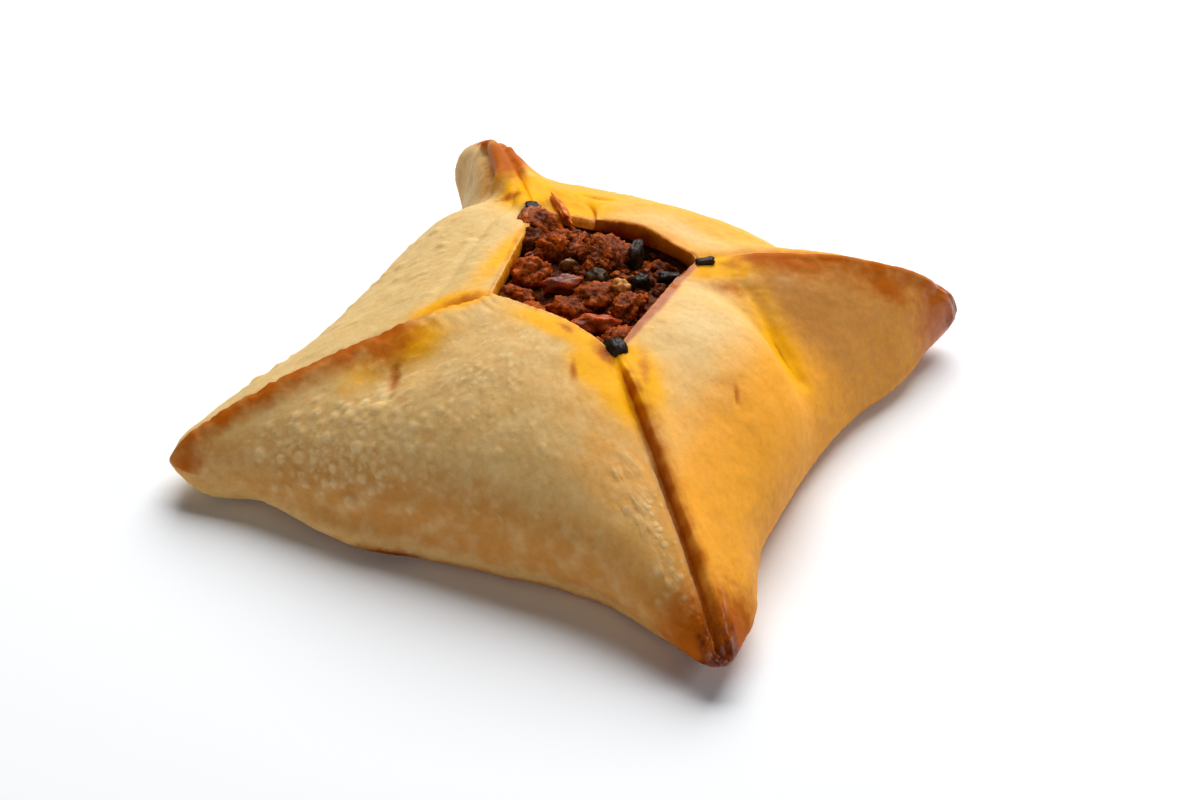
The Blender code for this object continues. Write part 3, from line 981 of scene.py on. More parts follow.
@dataclass
class Dough:
    """The pastry's dough, with its laps, its skin and its browning."""
    form: PastryForm
    finish: DoughFinish = DoughFinish()
    spread: Spread = Spread((0.0, 0.12, 0.25, 0.4, 0.55, 0.75, 0.95, 1.2, 1.45, 1.7, 2.0, 2.3, 2.6,
                             3.0, 3.5, 4.1, 4.8, 5.6, 6.5), 170)
    foot_levels: int = 10
    flap_levels: int = 92
    pocket_levels: int = 8
    base_shares: tuple[float, ...] = (0.6,)
    cut_shares: tuple[float, ...] = (0.08, 0.25, 0.5, 0.75, 0.93)
    stains: tuple[Stain, ...] = (
        # Beside the opening's front corner
        Stain(Tint.OIL, 17.5, -18.0, 7.5, 5.0, -45, 1.9),
        Stain(Tint.OIL, 12.5, -19.0, 5.5, 3.4, -40, 1.3, Flap.FRONT),
        Stain(Tint.BROWN, 10.6, -21.4, 2.6, 0.7, -60, 0.7, Flap.FRONT),
        Stain(Tint.BROWN, 19.2, -15.0, 4.5, 1.1, -60, 0.6, Flap.RIGHT),
        # Along the front edge of the opening
        Stain(Tint.OIL, 5.0, -14.4, 11.0, 2.4, -6, 1.2, Flap.FRONT),
        Stain(Tint.BROWN, 5.3, -14.0, 2.0, 0.9, -20, 0.75, Flap.FRONT),
        Stain(Tint.BROWN, 12.6, -15.4, 2.6, 1.5, -30, 0.9, Flap.FRONT),
        Stain(Tint.BURN, 12.8, -14.6, 1.8, 1.0, -30, 0.6, Flap.FRONT),
        # Beside the opening's left corner and along its left edge
        Stain(Tint.OIL, -14.5, -14.0, 6.5, 3.2, 42, 1.5),
        Stain(Tint.BROWN, -13.5, -12.2, 4.0, 1.5, 42, 0.75, Flap.LEFT),
        Stain(Tint.OIL, -13.8, 2.0, 13.0, 2.4, 90, 0.9, Flap.LEFT),
        # Beside the opening's back corner and on the back flap's rim
        Stain(Tint.OIL, -20.0, 20.0, 6.0, 4.5, 135, 1.5),
        Stain(Tint.BROWN, -22.0, 18.1, 2.8, 1.3, 20, 0.8, Flap.LEFT),
        Stain(Tint.BURN, -16.8, 15.4, 2.4, 1.8, 100, 0.9),
        Stain(Tint.OIL, -12.0, 20.5, 7.0, 4.0, 0, 1.4, Flap.BACK),
        Stain(Tint.OIL, -10.1, 24.9, 5.0, 2.2, 10, 1.3, Flap.BACK),
        Stain(Tint.BROWN, -10.1, 24.9, 2.4, 1.0, 10, 0.6, Flap.BACK),
        # Beside the opening's right corner and down the right flap's valley
        Stain(Tint.OIL, 17.0, 14.0, 6.5, 3.2, 45, 1.4),
        # Painted shade where the right flap's valley begins
        Stain(Tint.BROWN, 20.5, 10.6, 5.0, 1.7, 35, 0.6, Flap.RIGHT),
        Stain(Tint.OIL, 31.0, 9.4, 6.0, 2.6, -25, 1.25, Flap.RIGHT),
        Stain(Tint.OIL, 26.0, 12.0, 7.0, 4.2, -15, 0.62, Flap.RIGHT),
        Stain(Tint.BROWN, 31.4, 8.9, 3.6, 0.7, -25, 0.6, Flap.RIGHT),
        # Pale stretches: a painted highlight on the right flap's upper part, and a pale, floury stretch on
        # the back flap
        Stain(Tint.PALE_AND_PAINTED_HIGHLIGHT, 21.5, -3.0, 11.0, 6.5, 90, 0.42, Flap.RIGHT),
        Stain(Tint.PALE_AND_PAINTED_HIGHLIGHT, 8.0, 19.6, 9.0, 2.2, 0, 0.55, Flap.BACK),
        # The small scar on the right flap
        Stain(Tint.BROWN, 32.5, -10.4, 1.7, 0.5, -60, 0.8, Flap.RIGHT),
        Stain(Tint.BROWN, 31.8, -9.4, 3.0, 2.2, 0, 0.32, Flap.RIGHT),
        # The oily hollow and the browning beside the left pinch
        Stain(Tint.OIL, -20.8, -31.0, 4.4, 3.0, 45, 0.62, Flap.FRONT),
        Stain(Tint.OIL, -15.4, -24.0, 6.0, 3.8, 45, 1.0, Flap.FRONT),
        Stain(Tint.BROWN, -18.4, -25.4, 5.5, 3.4, 47, 0.85, Flap.FRONT),
        Stain(Tint.BROWN, -15.6, -29.8, 3.6, 1.2, -64, 0.7, Flap.FRONT),
        Stain(Tint.BROWN, -43.0, -46.6, 3.6, 2.6, 30, 0.75, Flap.FRONT),
        # The browning down the right pinch
        Stain(Tint.BROWN, 26.0, 23.5, 9.0, 2.6, 47, 0.75, Flap.RIGHT),
        Stain(Tint.BROWN, 33.0, 31.0, 9.0, 3.4, 47, 0.6, Flap.RIGHT),
        Stain(Tint.BROWN, 37.5, 34.0, 4.5, 2.4, 50, 0.9, Flap.RIGHT),
        # The ear at the back pinch, and the pale flap beside it
        Stain(Tint.BROWN, -29.5, 30.0, 9.0, 3.8, 123, 1.3),
        Stain(Tint.BURN, -29.8, 30.6, 8.0, 3.2, 123, 0.30),
        Stain(Tint.OIL, -27.0, 26.6, 9.0, 4.0, 128, 0.9),
        Stain(Tint.PALE_AND_PAINTED_HIGHLIGHT, -38.5, 29.5, 6.0, 4.0, 110, 0.6, Flap.LEFT),
    )
    creases: tuple[Crease, ...] = (
        Crease(Flap.LEFT, (-29.0, 23.5), (-36.5, 34.5), 1.3, 0.9, 0.8),
        Crease(Flap.LEFT, (-35.0, 27.0), (-38.3, 32.8), 0.6, 0.6),
        Crease(Flap.BACK, (-24.5, 26.5), (-17.5, 19.0), -0.6, 1.3),
        Crease(Flap.FRONT, (-16.3, -28.4), (-14.4, -34.0), 0.45, 0.7),
        Crease(Flap.RIGHT, (23.3, 13.1), (34.9, 7.8), 0.5, 1.1),
        Crease(Flap.RIGHT, (32.1, -9.6), (33.2, -11.6), 0.35, 0.4),
        Crease(Flap.BACK, (-12.0, 24.6), (-7.6, 25.4), 0.4, 0.6),
    )
    clusters: tuple[Cluster, ...] = (
        Cluster(Flap.FRONT, 0.28, 0.09, -0.46, 0.12, 150, 0.40, 1.30, 0.50),
        Cluster(Flap.FRONT, 0.36, 0.11, -0.15, 0.18, 110, 0.35, 0.80, 0.34),
        Cluster(Flap.FRONT, 0.42, 0.11, 0.83, 0.05, 26, 0.60, 1.00, 0.40),
        Cluster(Flap.FRONT, 0.62, 0.14, -0.10, 0.25, 90, 0.35, 0.65, 0.35),
        Cluster(Flap.LEFT, 0.50, 0.20, 0.30, 0.35, 40, 0.6, 1.1, 0.25),
        Cluster(Flap.BACK, 0.30, 0.12, 0.30, 0.25, 70, 0.45, 1.10, 0.6),
    )
    steepness: float = 0.34
    waves: tuple[tuple[float, float], ...] = ((0.30, 9.0), (0.15, 2.8), (0.06, 0.9))
    blister_warp: float = 0.32    # how far noise bends the blisters out of round
    plain: tuple[tuple[Tint, float], ...] = ((Tint.TAN, 0.6), (Tint.BROWN, 0.3))
    tear: tuple[float, float, float] = (0.0, 1.7, -1.3)
    cut_bulge: float = 0.35
    cut_roll: float = 0.22
    cut_grain: float = 0.18
    seed: int = 5

    def __post_init__(self) -> None:
        """Scatters the blisters and sorts them by place."""
        draw, surface = random.Random(self.seed), self.form.dough()
        self.blisters = [blister for cluster in self.clusters for blister in cluster.scatter(surface, draw)]
        self.widest = max(blister.radius for blister in self.blisters)
        self.nearby = KDTree(len(self.blisters))
        for index, blister in enumerate(self.blisters):
            self.nearby.insert(blister.place, index)
        self.nearby.balance()

    def blistered(self, place: Vector) -> tuple[float, float]:
        """Finds the blister at a place.

        Args:
            place: A place on the dough.

        Returns:
            The blister's height and paleness, both 0 beside one.
        """
        height = paleness = 0.0
        place = place + self.blister_warp * noise.noise_vector(place / 1.1)
        for _, index, distance in self.nearby.find_range(place, self.widest):
            blister = self.blisters[index]
            dome = max(0.0, 1 - (distance / blister.radius) ** 2)
            height = max(height, self.steepness * blister.radius * dome ** 0.7)
            paleness = max(paleness, blister.paleness * smooth(1.6 * dome))
        return height, paleness

    def lap_lift(self, spot: Spot) -> float:
        """How far a lap lifts the surface beside its seam.

        Args:
            spot: A place on the dough.

        Returns:
            The lift in millimetres.
        """
        lap = self.form.laps[spot.pinch.value]
        beside = spot.beside * lap.upper
        breadth = lap.breadth(spot.level)
        fade = rise(spot.level, lap.start, self.form.lap_full)
        fade *= 1 - lap.ease * rise(spot.level, 0.78, 0.93)
        if beside < 0:
            return -lap.groove * bump(beside, 1.2) * fade
        if beside < breadth:
            climbed = smooth(beside / breadth) ** 0.8
            return (-lap.groove + (lap.height + lap.groove) * climbed) * fade
        return lap.height * bump(beside - breadth, self.form.lap_spread) * fade

    def seam_detail(self, spot: Spot) -> float:
        """The small folds and pinch marks beside each seam.

        Args:
            spot: A place on the dough.

        Returns:
            The lift in millimetres.
        """
        along, beside, level = spot.place.xy.length, spot.beside, spot.level
        upward = rise(level, -0.2, 0.05)
        if spot.pinch is Pinch.LEFT:
            ticks = 0.38 * puckers(along * 1.3, beside * 0.3, 3.1)
            lip = 0.3 * bump(beside - 0.4, 0.5) - 0.3 * bump(beside + 0.6, 0.4)
            return (ticks * band(beside, 0.6, 4.2, 1.0) + lip * rise(level, 0.0, 0.3)) * upward
        if spot.pinch is Pinch.FRONT:
            beads = 0.7 + puckers(along * 0.8, 0, 1.7)
            lip = 0.3 * bump(beside + 0.7, 0.45) * beads
            wrinkles = 0.14 * puckers(along * 0.25, beside * 1.9, 8.2) * band(beside, 0.0, 4.0, 1.0)
            crinkle = 0.62 * puckers(along * 0.8, beside * 0.9, 4.4) * band(beside, -2.0, 3.4, 1.0)
            return (lip + wrinkles + crinkle * fall(level, 0.05, 0.35)) * upward
        if spot.pinch is Pinch.RIGHT:
            line = 0.2 * bump(beside + 1.6, 0.9) * bump(level - 0.55, 0.3)
            dents = 0.25 * puckers(along * 0.45, beside * 0.4, 5.5) * bump(beside + 4, 5.0)
            crinkle = 0.55 * puckers(along * 0.6, beside * 0.7, 2.2) * band(beside, -5.0, 1.0, 2.0)
            return (line + dents + crinkle * fall(level, 0.15, 0.45)) * upward
        return 0.0

    def fold_lift(self, spot: Spot) -> float:
        """The creases of the flaps away from the seams.

        Args:
            spot: A place on the dough.

        Returns:
            The lift in millimetres.
        """
        folds = sum(crease.lift(spot) for crease in self.creases)
        if spot.flap is Flap.LEFT:
            above = spot.level - 0.885 + 0.06 * (spot.share + 0.7)
            groove = 0.25 * bump(above - 0.03, 0.045) - 0.35 * bump(above + 0.035, 0.018)
            folds += groove * band(spot.share, -0.8, 0.7, 0.25)
        return folds

    def torn(self, spot: Spot) -> Vector:
        """How far the back flap's rim has torn back beside the back pinch.

        Args:
            spot: A place on the dough.

        Returns:
            The step from where the rim would be, in millimetres.
        """
        if spot.flap is not Flap.BACK:
            return Vector()
        half = 0.025 + 0.7 * (1 - spot.level)
        amount = rise(spot.share, 0.34 - half, 0.34 + half) * fall(spot.share, 0.90, 1.0)
        return Vector(self.tear) * amount * rise(spot.level, 0.78, 0.98)

    def skin_lift(self, spot: Spot) -> float:
        """The dough's own unevenness and its blisters."""
        waves = sum(height * noise.noise(spot.place / size) for height, size in self.waves)
        return waves + self.blistered(spot.place)[0]

    def lift(self, spot: Spot) -> float:
        """The whole relief at a place.

        Args:
            spot: A place on the dough.

        Returns:
            The lift along the surface's normal, in millimetres.
        """
        total = self.seam_detail(spot) + self.fold_lift(spot) + self.skin_lift(spot)
        total *= rise(spot.level, -0.95, -0.65) * (1 - 0.5 * rise(spot.level, 0.96, 1.0))
        return self.lap_lift(spot) + total

    def seam_tints(self, spot: Spot) -> dict[Tint, float]:
        """The browning beside the seams and on the tips.

        Args:
            spot: A place on the dough.

        Returns:
            The amount of each tint there.
        """
        browned = {Pinch.LEFT: left_seam, Pinch.FRONT: front_seam, Pinch.RIGHT: right_seam,
                   Pinch.BACK: back_seam}[spot.pinch]
        corner = self.form.corners[spot.pinch.value]
        reach = (spot.place - Vector((*corner.tip, corner.tip_z))).length
        wavy = spot.beside + 2.2 * noise.noise(spot.place / 3.6)
        torn = 0.55 + 0.7 * ragged(spot.place, 2.4)
        breadth = self.form.laps[spot.pinch.value].breadth(spot.level)
        return browned(SeamPlace(spot.level, spot.beside, wavy, breadth, reach, torn, spot.place))

    def flap_tints(self, spot: Spot) -> dict[Tint, float]:
        """The tone of each flap as a whole.

        Args:
            spot: A place on the dough.

        Returns:
            The amount of each tint there.
        """
        level, share = spot.level, spot.share
        foot = fall(level, -0.65, -0.35)
        if spot.flap is Flap.FRONT:
            # The tan that grows toward the foot of the front flap is partly browning and partly painted
            # shade, where the flap turns down and away from the light; it eases off again at the very foot,
            # as painted light bounced up from the floor.
            low = 0.85 * fall(level, 0.10, 0.55) * (0.55 + 0.45 * rise(level, -0.35, -0.05))
            low *= 0.75 + 0.25 * rise(share, -0.75, -0.15)
            burn = bump(level + 0.62, 0.20) * bump(share + 0.20, 0.13)
            return {Tint.TAN: max(low, 0.35 * rise(share, 0.2, 0.6), 0.34),
                    Tint.GOLD: 0.22 + 0.25 * rise(share, 0.3, 0.7),
                    Tint.BROWN: max(0.5 * foot, 0.9 * burn), Tint.BURN: 0.63 * burn}
        if spot.flap is Flap.RIGHT:
            wing = rise(share - 0.3 * level * level, 0.15, 0.40)
            rim = rise(level, 0.955, 0.985)
            gold = 0.95 - 0.55 * rise(level, 0.40, 0.80)
            low = 0.45 * fall(level, 0.05, 0.45)
            return {Tint.GOLD: gold - 0.10 * wing,
                    Tint.TAN: max((0.62 + 0.28 * rise(level, 0.0, 0.5)) * wing, low),
                    Tint.BROWN: max(0.4 * foot, 0.85 * rim, 0.12 * wing), Tint.BURN: 0.25 * rim,
                    Tint.GLOSS: 0.4 * rim}
        if spot.flap is Flap.BACK:
            rim = rise(level, 0.985, 0.993) * fall(share, 0.2, 0.3)
            creamy = rise(level, 0.55, 0.85) * fall(share, 0.25, 0.55)
            low = 0.6 * fall(level, 0.10, 0.60) * (0.7 + 0.5 * ragged(spot.place, 9.0))
            warm = 0.42 + 0.45 * rise(level, 0.35, 0.65)
            return {Tint.GOLD: warm * (1 - 0.3 * creamy), Tint.TAN: max(0.25, low),
                    Tint.BROWN: max(0.4 * foot, 0.8 * rim), Tint.BURN: 0.2 * rim}
        rim = rise(level, 0.965, 0.980)
        return {Tint.GOLD: 0.10, Tint.TAN: 0.22, Tint.BROWN: max(0.3 * foot, 0.35 * rim),
                Tint.BURN: 0.1 * rim}

    def tints(self, spot: Spot) -> dict[Tint, float]:
        """Every tint at a place on the outer surface.

        Args:
            spot: A place on the dough.

        Returns:
            The amount of each tint there. More than 1 shows as 1, with a harder edge.
        """
        found = {tint: 0.0 for tint in Tint}
        blend = 0.5 * bump(spot.beside, 3.0)
        own = self.flap_tints(spot)
        other = Flap((spot.pinch.value if spot.beside < 0 else spot.pinch.value - 1) % SIDES)
        across = self.flap_tints(spot._replace(flap=other, share=-spot.share))
        for tint in (Tint.GOLD, Tint.TAN):
            found[tint] = own.get(tint, 0.0) * (1 - blend) + across.get(tint, 0.0) * blend
        for source in (own, self.seam_tints(spot)):
            for tint, amount in source.items():
                found[tint] = max(found[tint], amount)
        if spot.level > 0:
            for stain in self.stains:
                found[stain.tint] = max(found[stain.tint], stain.at(spot))
        found[Tint.PALE_AND_PAINTED_HIGHLIGHT] = max(found[Tint.PALE_AND_PAINTED_HIGHLIGHT], self.blistered(spot.place)[1])
        if spot.flap is Flap.FRONT:
            fine = 0.512 * rise(spot.level, 0.20, 0.45) * bump(spot.share + 0.12, 0.55)
            fine *= ragged(spot.place, 5.0)
            beside_seam = bump(spot.beside + 4.0, 2.6) * band(spot.level, 0.14, 0.50, 0.06)
            beside_seam *= 0.6 + 0.8 * ragged(spot.place, 4.0)
            found[Tint.PEBBLED] = min(1.0, max(fine, beside_seam if spot.share > 0 else 0.0))
        elif spot.flap is Flap.BACK:
            middle = bump(spot.level - 0.4, 0.3) * bump(spot.share, 0.6)
            found[Tint.PEBBLED] = 0.5 * middle * ragged(spot.place, 5.0)
        return found

    def cut_tints(self, spot: Spot, depth: float) -> dict[Tint, float]:
        """The tints of the cut edge round the opening.

        Args:
            spot: The place on the rim above it.
            depth: How far down the cut edge it is, from 0 to 1.

        Returns:
            The amount of each tint there.
        """
        brown = {Flap.FRONT: 0.25, Flap.RIGHT: 1.0, Flap.BACK: 1.0, Flap.LEFT: 0.6}[spot.flap]
        burn = {Flap.FRONT: 0.3, Flap.RIGHT: 0.6, Flap.BACK: 0.25, Flap.LEFT: 0.4}[spot.flap]
        ledge = rise(spot.share, 0.30, 0.40) if spot.flap is Flap.BACK else 0.0
        return {Tint.GOLD: 0.8, Tint.OIL: 0.6, Tint.GLOSS: 0.6,
                Tint.BROWN: brown * (0.7 + 0.3 * depth) * (1 - 0.15 * ledge),
                Tint.BURN: burn * (0.3 + 0.7 * depth) * (1 - 0.3 * ledge)}

    def build(self) -> bpy.types.Object:
        """Makes the dough's mesh, with its masks and its material.

        Returns:
            The dough, placed and finished.
        """
        outer = self.form.dough()
        steps = [-1 + index / self.foot_levels for index in range(self.foot_levels)]
        steps += [index / (self.flap_levels - 1) for index in range(self.flap_levels)]
        spots = [outer.ring(level, self.spread) for level in steps]
        surface = [[spot.place for spot in ring] for ring in spots]
        body = Loft("baked_dough", [tint.value for tint in Tint])
        plain = dict(self.plain)
        for share in self.base_shares:
            body.add([flat(spot.place, share, 0.0) for spot in spots[0]], [plain] * len(spots[0]))
        for row, ring in enumerate(spots):
            lifted = []
            for column, spot in enumerate(ring):
                outward = outward_normal(surface, row, column)
                place = spot.place + outward * self.lift(spot) + self.torn(spot)
                place.z = max(place.z, 0.0)
                lifted.append(place)
            body.add(lifted, [self.tints(spot) for spot in ring])
        pocket = self.form.pocket(0.0)
        inner = [pocket.ring(1 - 2 * index / (self.pocket_levels - 1), self.spread)
                 for index in range(self.pocket_levels)]
        top = body.rings[-1]
        for depth in self.cut_shares:
            ring = [self.cut_place(high, low.place, rim, depth)
                    for high, low, rim in zip(top, inner[0], spots[-1])]
            body.add(ring, [self.cut_tints(spot, depth) for spot in spots[-1]])
        for ring in inner:
            body.add([spot.place for spot in ring], [self.cut_tints(spot, 1.0) for spot in ring])
        for share in reversed(self.base_shares):
            ring = [flat(spot.place, share, self.form.floor) for spot in inner[-1]]
            body.add(ring, [plain] * len(ring))
        piece = body.build(Vector(), Vector((0, 0, self.form.floor)))
        piece.data.materials.append(self.finish.material())
        return piece

    def cut_place(self, high: Vector, low: Vector, rim: Spot, depth: float) -> Vector:
        """A place on the cut edge round the opening.

        Args:
            high: The place on the rim above it.
            low: The place on the pocket's rim below it.
            rim: The rim's own spot.
            depth: How far down it is, from 0 to 1.

        Returns:
            The place, on an edge that is rolled over at the top.
        """
        inward = -Vector((*self.form.sides[rim.flap.value].normal, 0))
        place = high.lerp(low, depth)
        place += inward * self.cut_bulge * math.sin(math.pi * depth)
        roll = math.sin(math.pi * min(1.0, 2 * depth)) * (1 - depth)
        place.z += self.cut_roll * self.form.edge * roll
        return place + inward * self.cut_grain * noise.noise(place / 0.8)


class SeamPlace(NamedTuple):
    """A place on the dough, as the browning beside its seam sees it."""
    level: float
    beside: float
    wavy: float           # the distance beside the seam, shifted by noise
    breadth: float        # the cut edge's breadth there
    reach: float          # distance from the tip
    torn: float           # patchiness, about 1
    place: Vector


def front_seam(at: SeamPlace) -> dict[Tint, float]:
    """The front pinch's browning, with painted shade: a dark fold, a glossy ember and a burnt tip.

    Args:
        at: A place beside the seam.

    Returns:
        The amount of each tint there.
    """
    # The fold and the line darken the upper flap's cut edge, most at its foot by the seam: partly browning,
    # partly painted shade on an edge that faces away from the light.
    fold = rise(at.beside, -0.15, 0.15) * math.exp(-(max(at.beside, 0.0) / (1.3 * at.breadth + 0.8)) ** 1.4)
    fold *= band(at.level, 0.0, 0.80, 0.10) * at.torn
    line = bump(at.beside - 0.3, 0.4 + 0.22 * at.breadth) * band(at.level, 0.05, 0.55, 0.15)
    halo = fall(at.reach, 4.0, 22.0)
    ember = fall(at.reach, 6.0, 21.0) * band(at.beside, -1.5, 3.2, 3.0)
    burnt = fall(at.reach, 4.0, 14.0) * band(at.beside, -3.5, 4.5, 3.0)
    burnt *= 0.5 + 0.6 * ragged(at.place, 2.2)
    return {Tint.BROWN: max(1.05 * fold, 0.85 * line, 1.1 * halo, 0.9 * ember),
            Tint.BURN: max(0.35 * line * at.torn, 0.8 * burnt, 0.16 * ember * at.torn, 0.15 * halo),
            Tint.GLOSS: max(0.9 * ember, 0.4 * line),
            Tint.PALE_AND_PAINTED_HIGHLIGHT: 0.45 * bump(at.beside + 0.7, 0.5) * band(at.level, 0.15, 0.55, 0.15)}


def left_seam(at: SeamPlace) -> dict[Tint, float]:
    """The left pinch's browning: a broad brown fold, with a painted highlight along its crest.

    Args:
        at: A place beside the seam.

    Returns:
        The amount of each tint there.
    """
    after = rise(at.beside, -0.25, 0.25)
    fold = after * fall(at.wavy, 0.6, 8.1) * band(at.level, 0.04, 0.70, 0.12)
    fold *= 0.8 + 0.35 * rise(at.level, 0.1, 0.4)
    # A painted highlight along the top of the crest
    crest = bump(at.beside + 0.2, 0.35) * band(at.level, 0.35, 0.9, 0.15)
    halo = fall(at.reach, 1.5, 7.5)
    tanned = fall(at.beside, 3.0, 11.0) * after * band(at.level, 0.0, 0.7, 0.1)
    return {Tint.BROWN: max(0.9 * fold, 0.75 * halo) * at.torn, Tint.PALE_AND_PAINTED_HIGHLIGHT: 0.5 * crest,
            Tint.TAN: 0.8 * tanned, Tint.BURN: 0.22 * fold * bump(at.beside - 1.2, 1.4) * at.torn}


def right_seam(at: SeamPlace) -> dict[Tint, float]:
    """The right pinch's browning: a brown fold toward the front and a burnt, glossy tip.

    Args:
        at: A place beside the seam.

    Returns:
        The amount of each tint there.
    """
    fold = fall(at.beside, -0.25, 0.25) * math.exp(-(max(-at.wavy, 0.0) / 6.0) ** 1.3)
    fold *= band(at.level, 0.10, 0.80, 0.16) * at.torn
    line = bump(at.beside + 0.2, 0.5) * band(at.level, 0.1, 0.75, 0.1)
    halo = fall(at.reach, 4.0, 20.0)
    tip = fall(at.reach, 2.0, 11.0)
    return {Tint.BROWN: max(1.15 * fold, 0.6 * line, 1.2 * halo),
            Tint.BURN: max(0.15 * line, 0.6 * tip * at.torn, 0.35 * halo * halo * at.torn),
            Tint.GLOSS: 0.7 * halo}


def back_seam(at: SeamPlace) -> dict[Tint, float]:
    """The back pinch's browning: a brown lobe on the ear, with a painted highlight along the ridge above it.

    Args:
        at: A place beside the seam.

    Returns:
        The amount of each tint there.
    """
    lobe = band(at.beside, -6.0, 3.0 + 8 * max(at.level - 0.35, 0.0), 3.5)
    lobe *= band(at.level, 0.10, 0.5, 0.2) * (at.torn + 0.1)
    beige = band(at.beside, 7.0, 16.0, 3.0) * band(at.level, -0.4, 0.45, 0.2)
    # A painted highlight along the ridge of the back flap's edge
    ridge = bump(at.beside + 1.5, 2.2) * band(at.level, 0.72, 0.9, 0.1)
    return {Tint.BROWN: min(1.0, 0.85 * lobe), Tint.TAN: 0.5 * beige, Tint.PALE_AND_PAINTED_HIGHLIGHT: 0.7 * ridge}


def puckers(along: float, beside: float, layer: float) -> float:
    """Noise along and beside a seam, in a layer of its own."""
    return noise.noise(Vector((along, beside, layer)))


def flat(place: Vector, share: float, height: float) -> Vector:
    """A place drawn in toward the middle, at one height."""
    return Vector((place.x * share, place.y * share, height))


def outward_normal(rings: Sequence[Sequence[Vector]], row: int, column: int) -> Vector:
    """Finds the direction out of a surface.

    Args:
        rings: The surface's rings, from the foot up.
        row: The ring.
        column: The place in the ring.

    Returns:
        The direction, of length 1.
    """
    count = len(rings[row])
    around = rings[row][(column + 1) % count] - rings[row][column - 1]
    upward = rings[min(row + 1, len(rings) - 1)][column] - rings[max(row - 1, 0)][column]
    return around.cross(upward).normalized()


class Loft:
    """A closed body through rings of places, made from a sphere with as many rings."""

    def __init__(self, name: str, masks: Sequence[str] = ()) -> None:
        """Starts a body.

        Args:
            name: The piece's name.
            masks: The names of the masks that its vertices hold.
        """
        self.name = name
        self.masks = list(masks)
        self.rings: list[list[Vector]] = []
        self.values: list[list[dict[Tint, float]]] = []

    def add(self, ring: list[Vector], values: Optional[list[dict[Tint, float]]] = None) -> None:
        """Adds a ring on top, with the masks of its places."""
        self.rings.append(ring)
        self.values.append(values or [{}] * len(ring))

    def build(self, bottom: Vector, top: Vector) -> bpy.types.Object:
        """Closes the body and makes it a piece.

        Args:
            bottom: The lowest pole.
            top: The last pole.

        Returns:
            The piece, in metres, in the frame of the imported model.
        """
        columns, rows = len(self.rings[0]), len(self.rings)
        bm = bmesh.new()
        bmesh.ops.create_uvsphere(bm, u_segments=columns, v_segments=rows + 1, radius=1)
        layers = {name: bm.verts.layers.float.new(name) for name in self.masks}
        for vertex in bm.verts:
            polar = math.acos(max(-1.0, min(1.0, -vertex.co.z)))
            row = round(polar / math.pi * (rows + 1)) - 1
            column = round(math.atan2(vertex.co.y, vertex.co.x) / math.tau * columns) % columns
            if row < 0 or row >= rows:
                vertex.co = bottom if row < 0 else top
                continue
            vertex.co = self.rings[row][column]
            for tint, amount in self.values[row][column].items():
                vertex[layers[tint.value]] = amount
        return finished(bm, self.name)


def finished(bm: bmesh.types.BMesh, name: str) -> bpy.types.Object:
    """Turns a bmesh in millimetres into a smooth piece in metres.

    Args:
        bm: The bmesh, which is used up.
        name: The piece's name.

    Returns:
        The new piece, linked to the scene.
    """
    for vertex in bm.verts:
        vertex.co = (vertex.co - PLAN_MIDDLE) * MM
    mesh = bpy.data.meshes.new(name)
    bm.to_mesh(mesh)
    bm.free()
    mesh.shade_smooth()
    return placed(name, mesh)


def placed(name: str, data: bpy.types.ID) -> bpy.types.Object:
    """Puts a mesh, a camera or a light into the scene.

    Args:
        name: The new object's name.
        data: What it shows.

    Returns:
        The new object.
    """
    made = bpy.data.objects.new(name, data)
    bpy.context.scene.collection.objects.link(made)
    return made


@dataclass(frozen=True)
class Morsel:
    """One piece of the filling: its kind, its place in plan, its size and how it lies."""
    kind: Bit
    x: float
    y: float
    length: float
    breadth: float
    height: float
    turn: float = 0.0
    lift: float = 0.18
    detail: int = 3
    char_power: float = 6.0       # how boxy a charred crumb is

    def shape(self, bm: bmesh.types.BMesh, z: float, shade: float) -> None:
        """Adds the morsel to a bmesh, resting on a height.

        Args:
            bm: The bmesh that holds the morsels of its kind.
            z: Height of the heap below it.
            shade: Its own tone, from 0 to 1.
        """
        made = bmesh.ops.create_icosphere(bm, subdivisions=self.detail, radius=0.5)["verts"]
        layer = bm.verts.layers.float["shade"]
        offset = Vector((self.x, self.y, self.length)) * 3.7
        cosine, sine = math.cos(self.turn), math.sin(self.turn)
        centre = Vector((self.x, self.y, z + self.lift * self.height))
        for vertex in made:
            rough = self.roughness(vertex.co, offset)
            x = vertex.co.x * self.length * rough
            y = vertex.co.y * self.breadth * rough
            vertex.co = centre + Vector((x * cosine - y * sine, x * sine + y * cosine,
                                         vertex.co.z * self.height * rough))
            # The shade mask: the morsel's own tone, darker in the hollows of its rough surface and lighter on
            # its ridges, as painted shade and painted highlights
            vertex[layer] = max(0.0, min(1.0, 0.7 * shade + 1.6 * (rough - 0.95)))

    def roughness(self, direction: Vector, offset: Vector) -> float:
        """How far the surface stands off the morsel's plain form.

        Args:
            direction: The direction from its middle.
            offset: Where its noise is read.

        Returns:
            The factor on its plain form, about 1.
        """
        unit = direction.normalized()
        rough = 1 + 0.35 * noise.noise(unit * 1.7 + offset)
        if self.kind is Bit.CHAR:
            boxy = sum(abs(part) ** self.char_power for part in unit) ** (-1 / self.char_power)
            return 0.85 * boxy * rough + 0.06 * noise.noise(unit * 5 + offset)
        depth = {Bit.MINCE: 1.0, Bit.TOMATO: 0.4, Bit.ONION: 0.4, Bit.HERB: 0.5, Bit.CRUST: 0.3}[self.kind]
        lumps = noise.voronoi(unit * self.length / 3.4 + offset)[0][0]
        grains = noise.voronoi(unit * self.length / 1.0 + offset)[0][0]
        shreds = noise.noise(Vector((unit.x, unit.y * 3, unit.z * 2)) * self.length / 1.2 + offset)
        return rough + depth * (0.22 * (0.5 - lumps) + 0.20 * (0.45 - grains) + 0.18 * shreds)


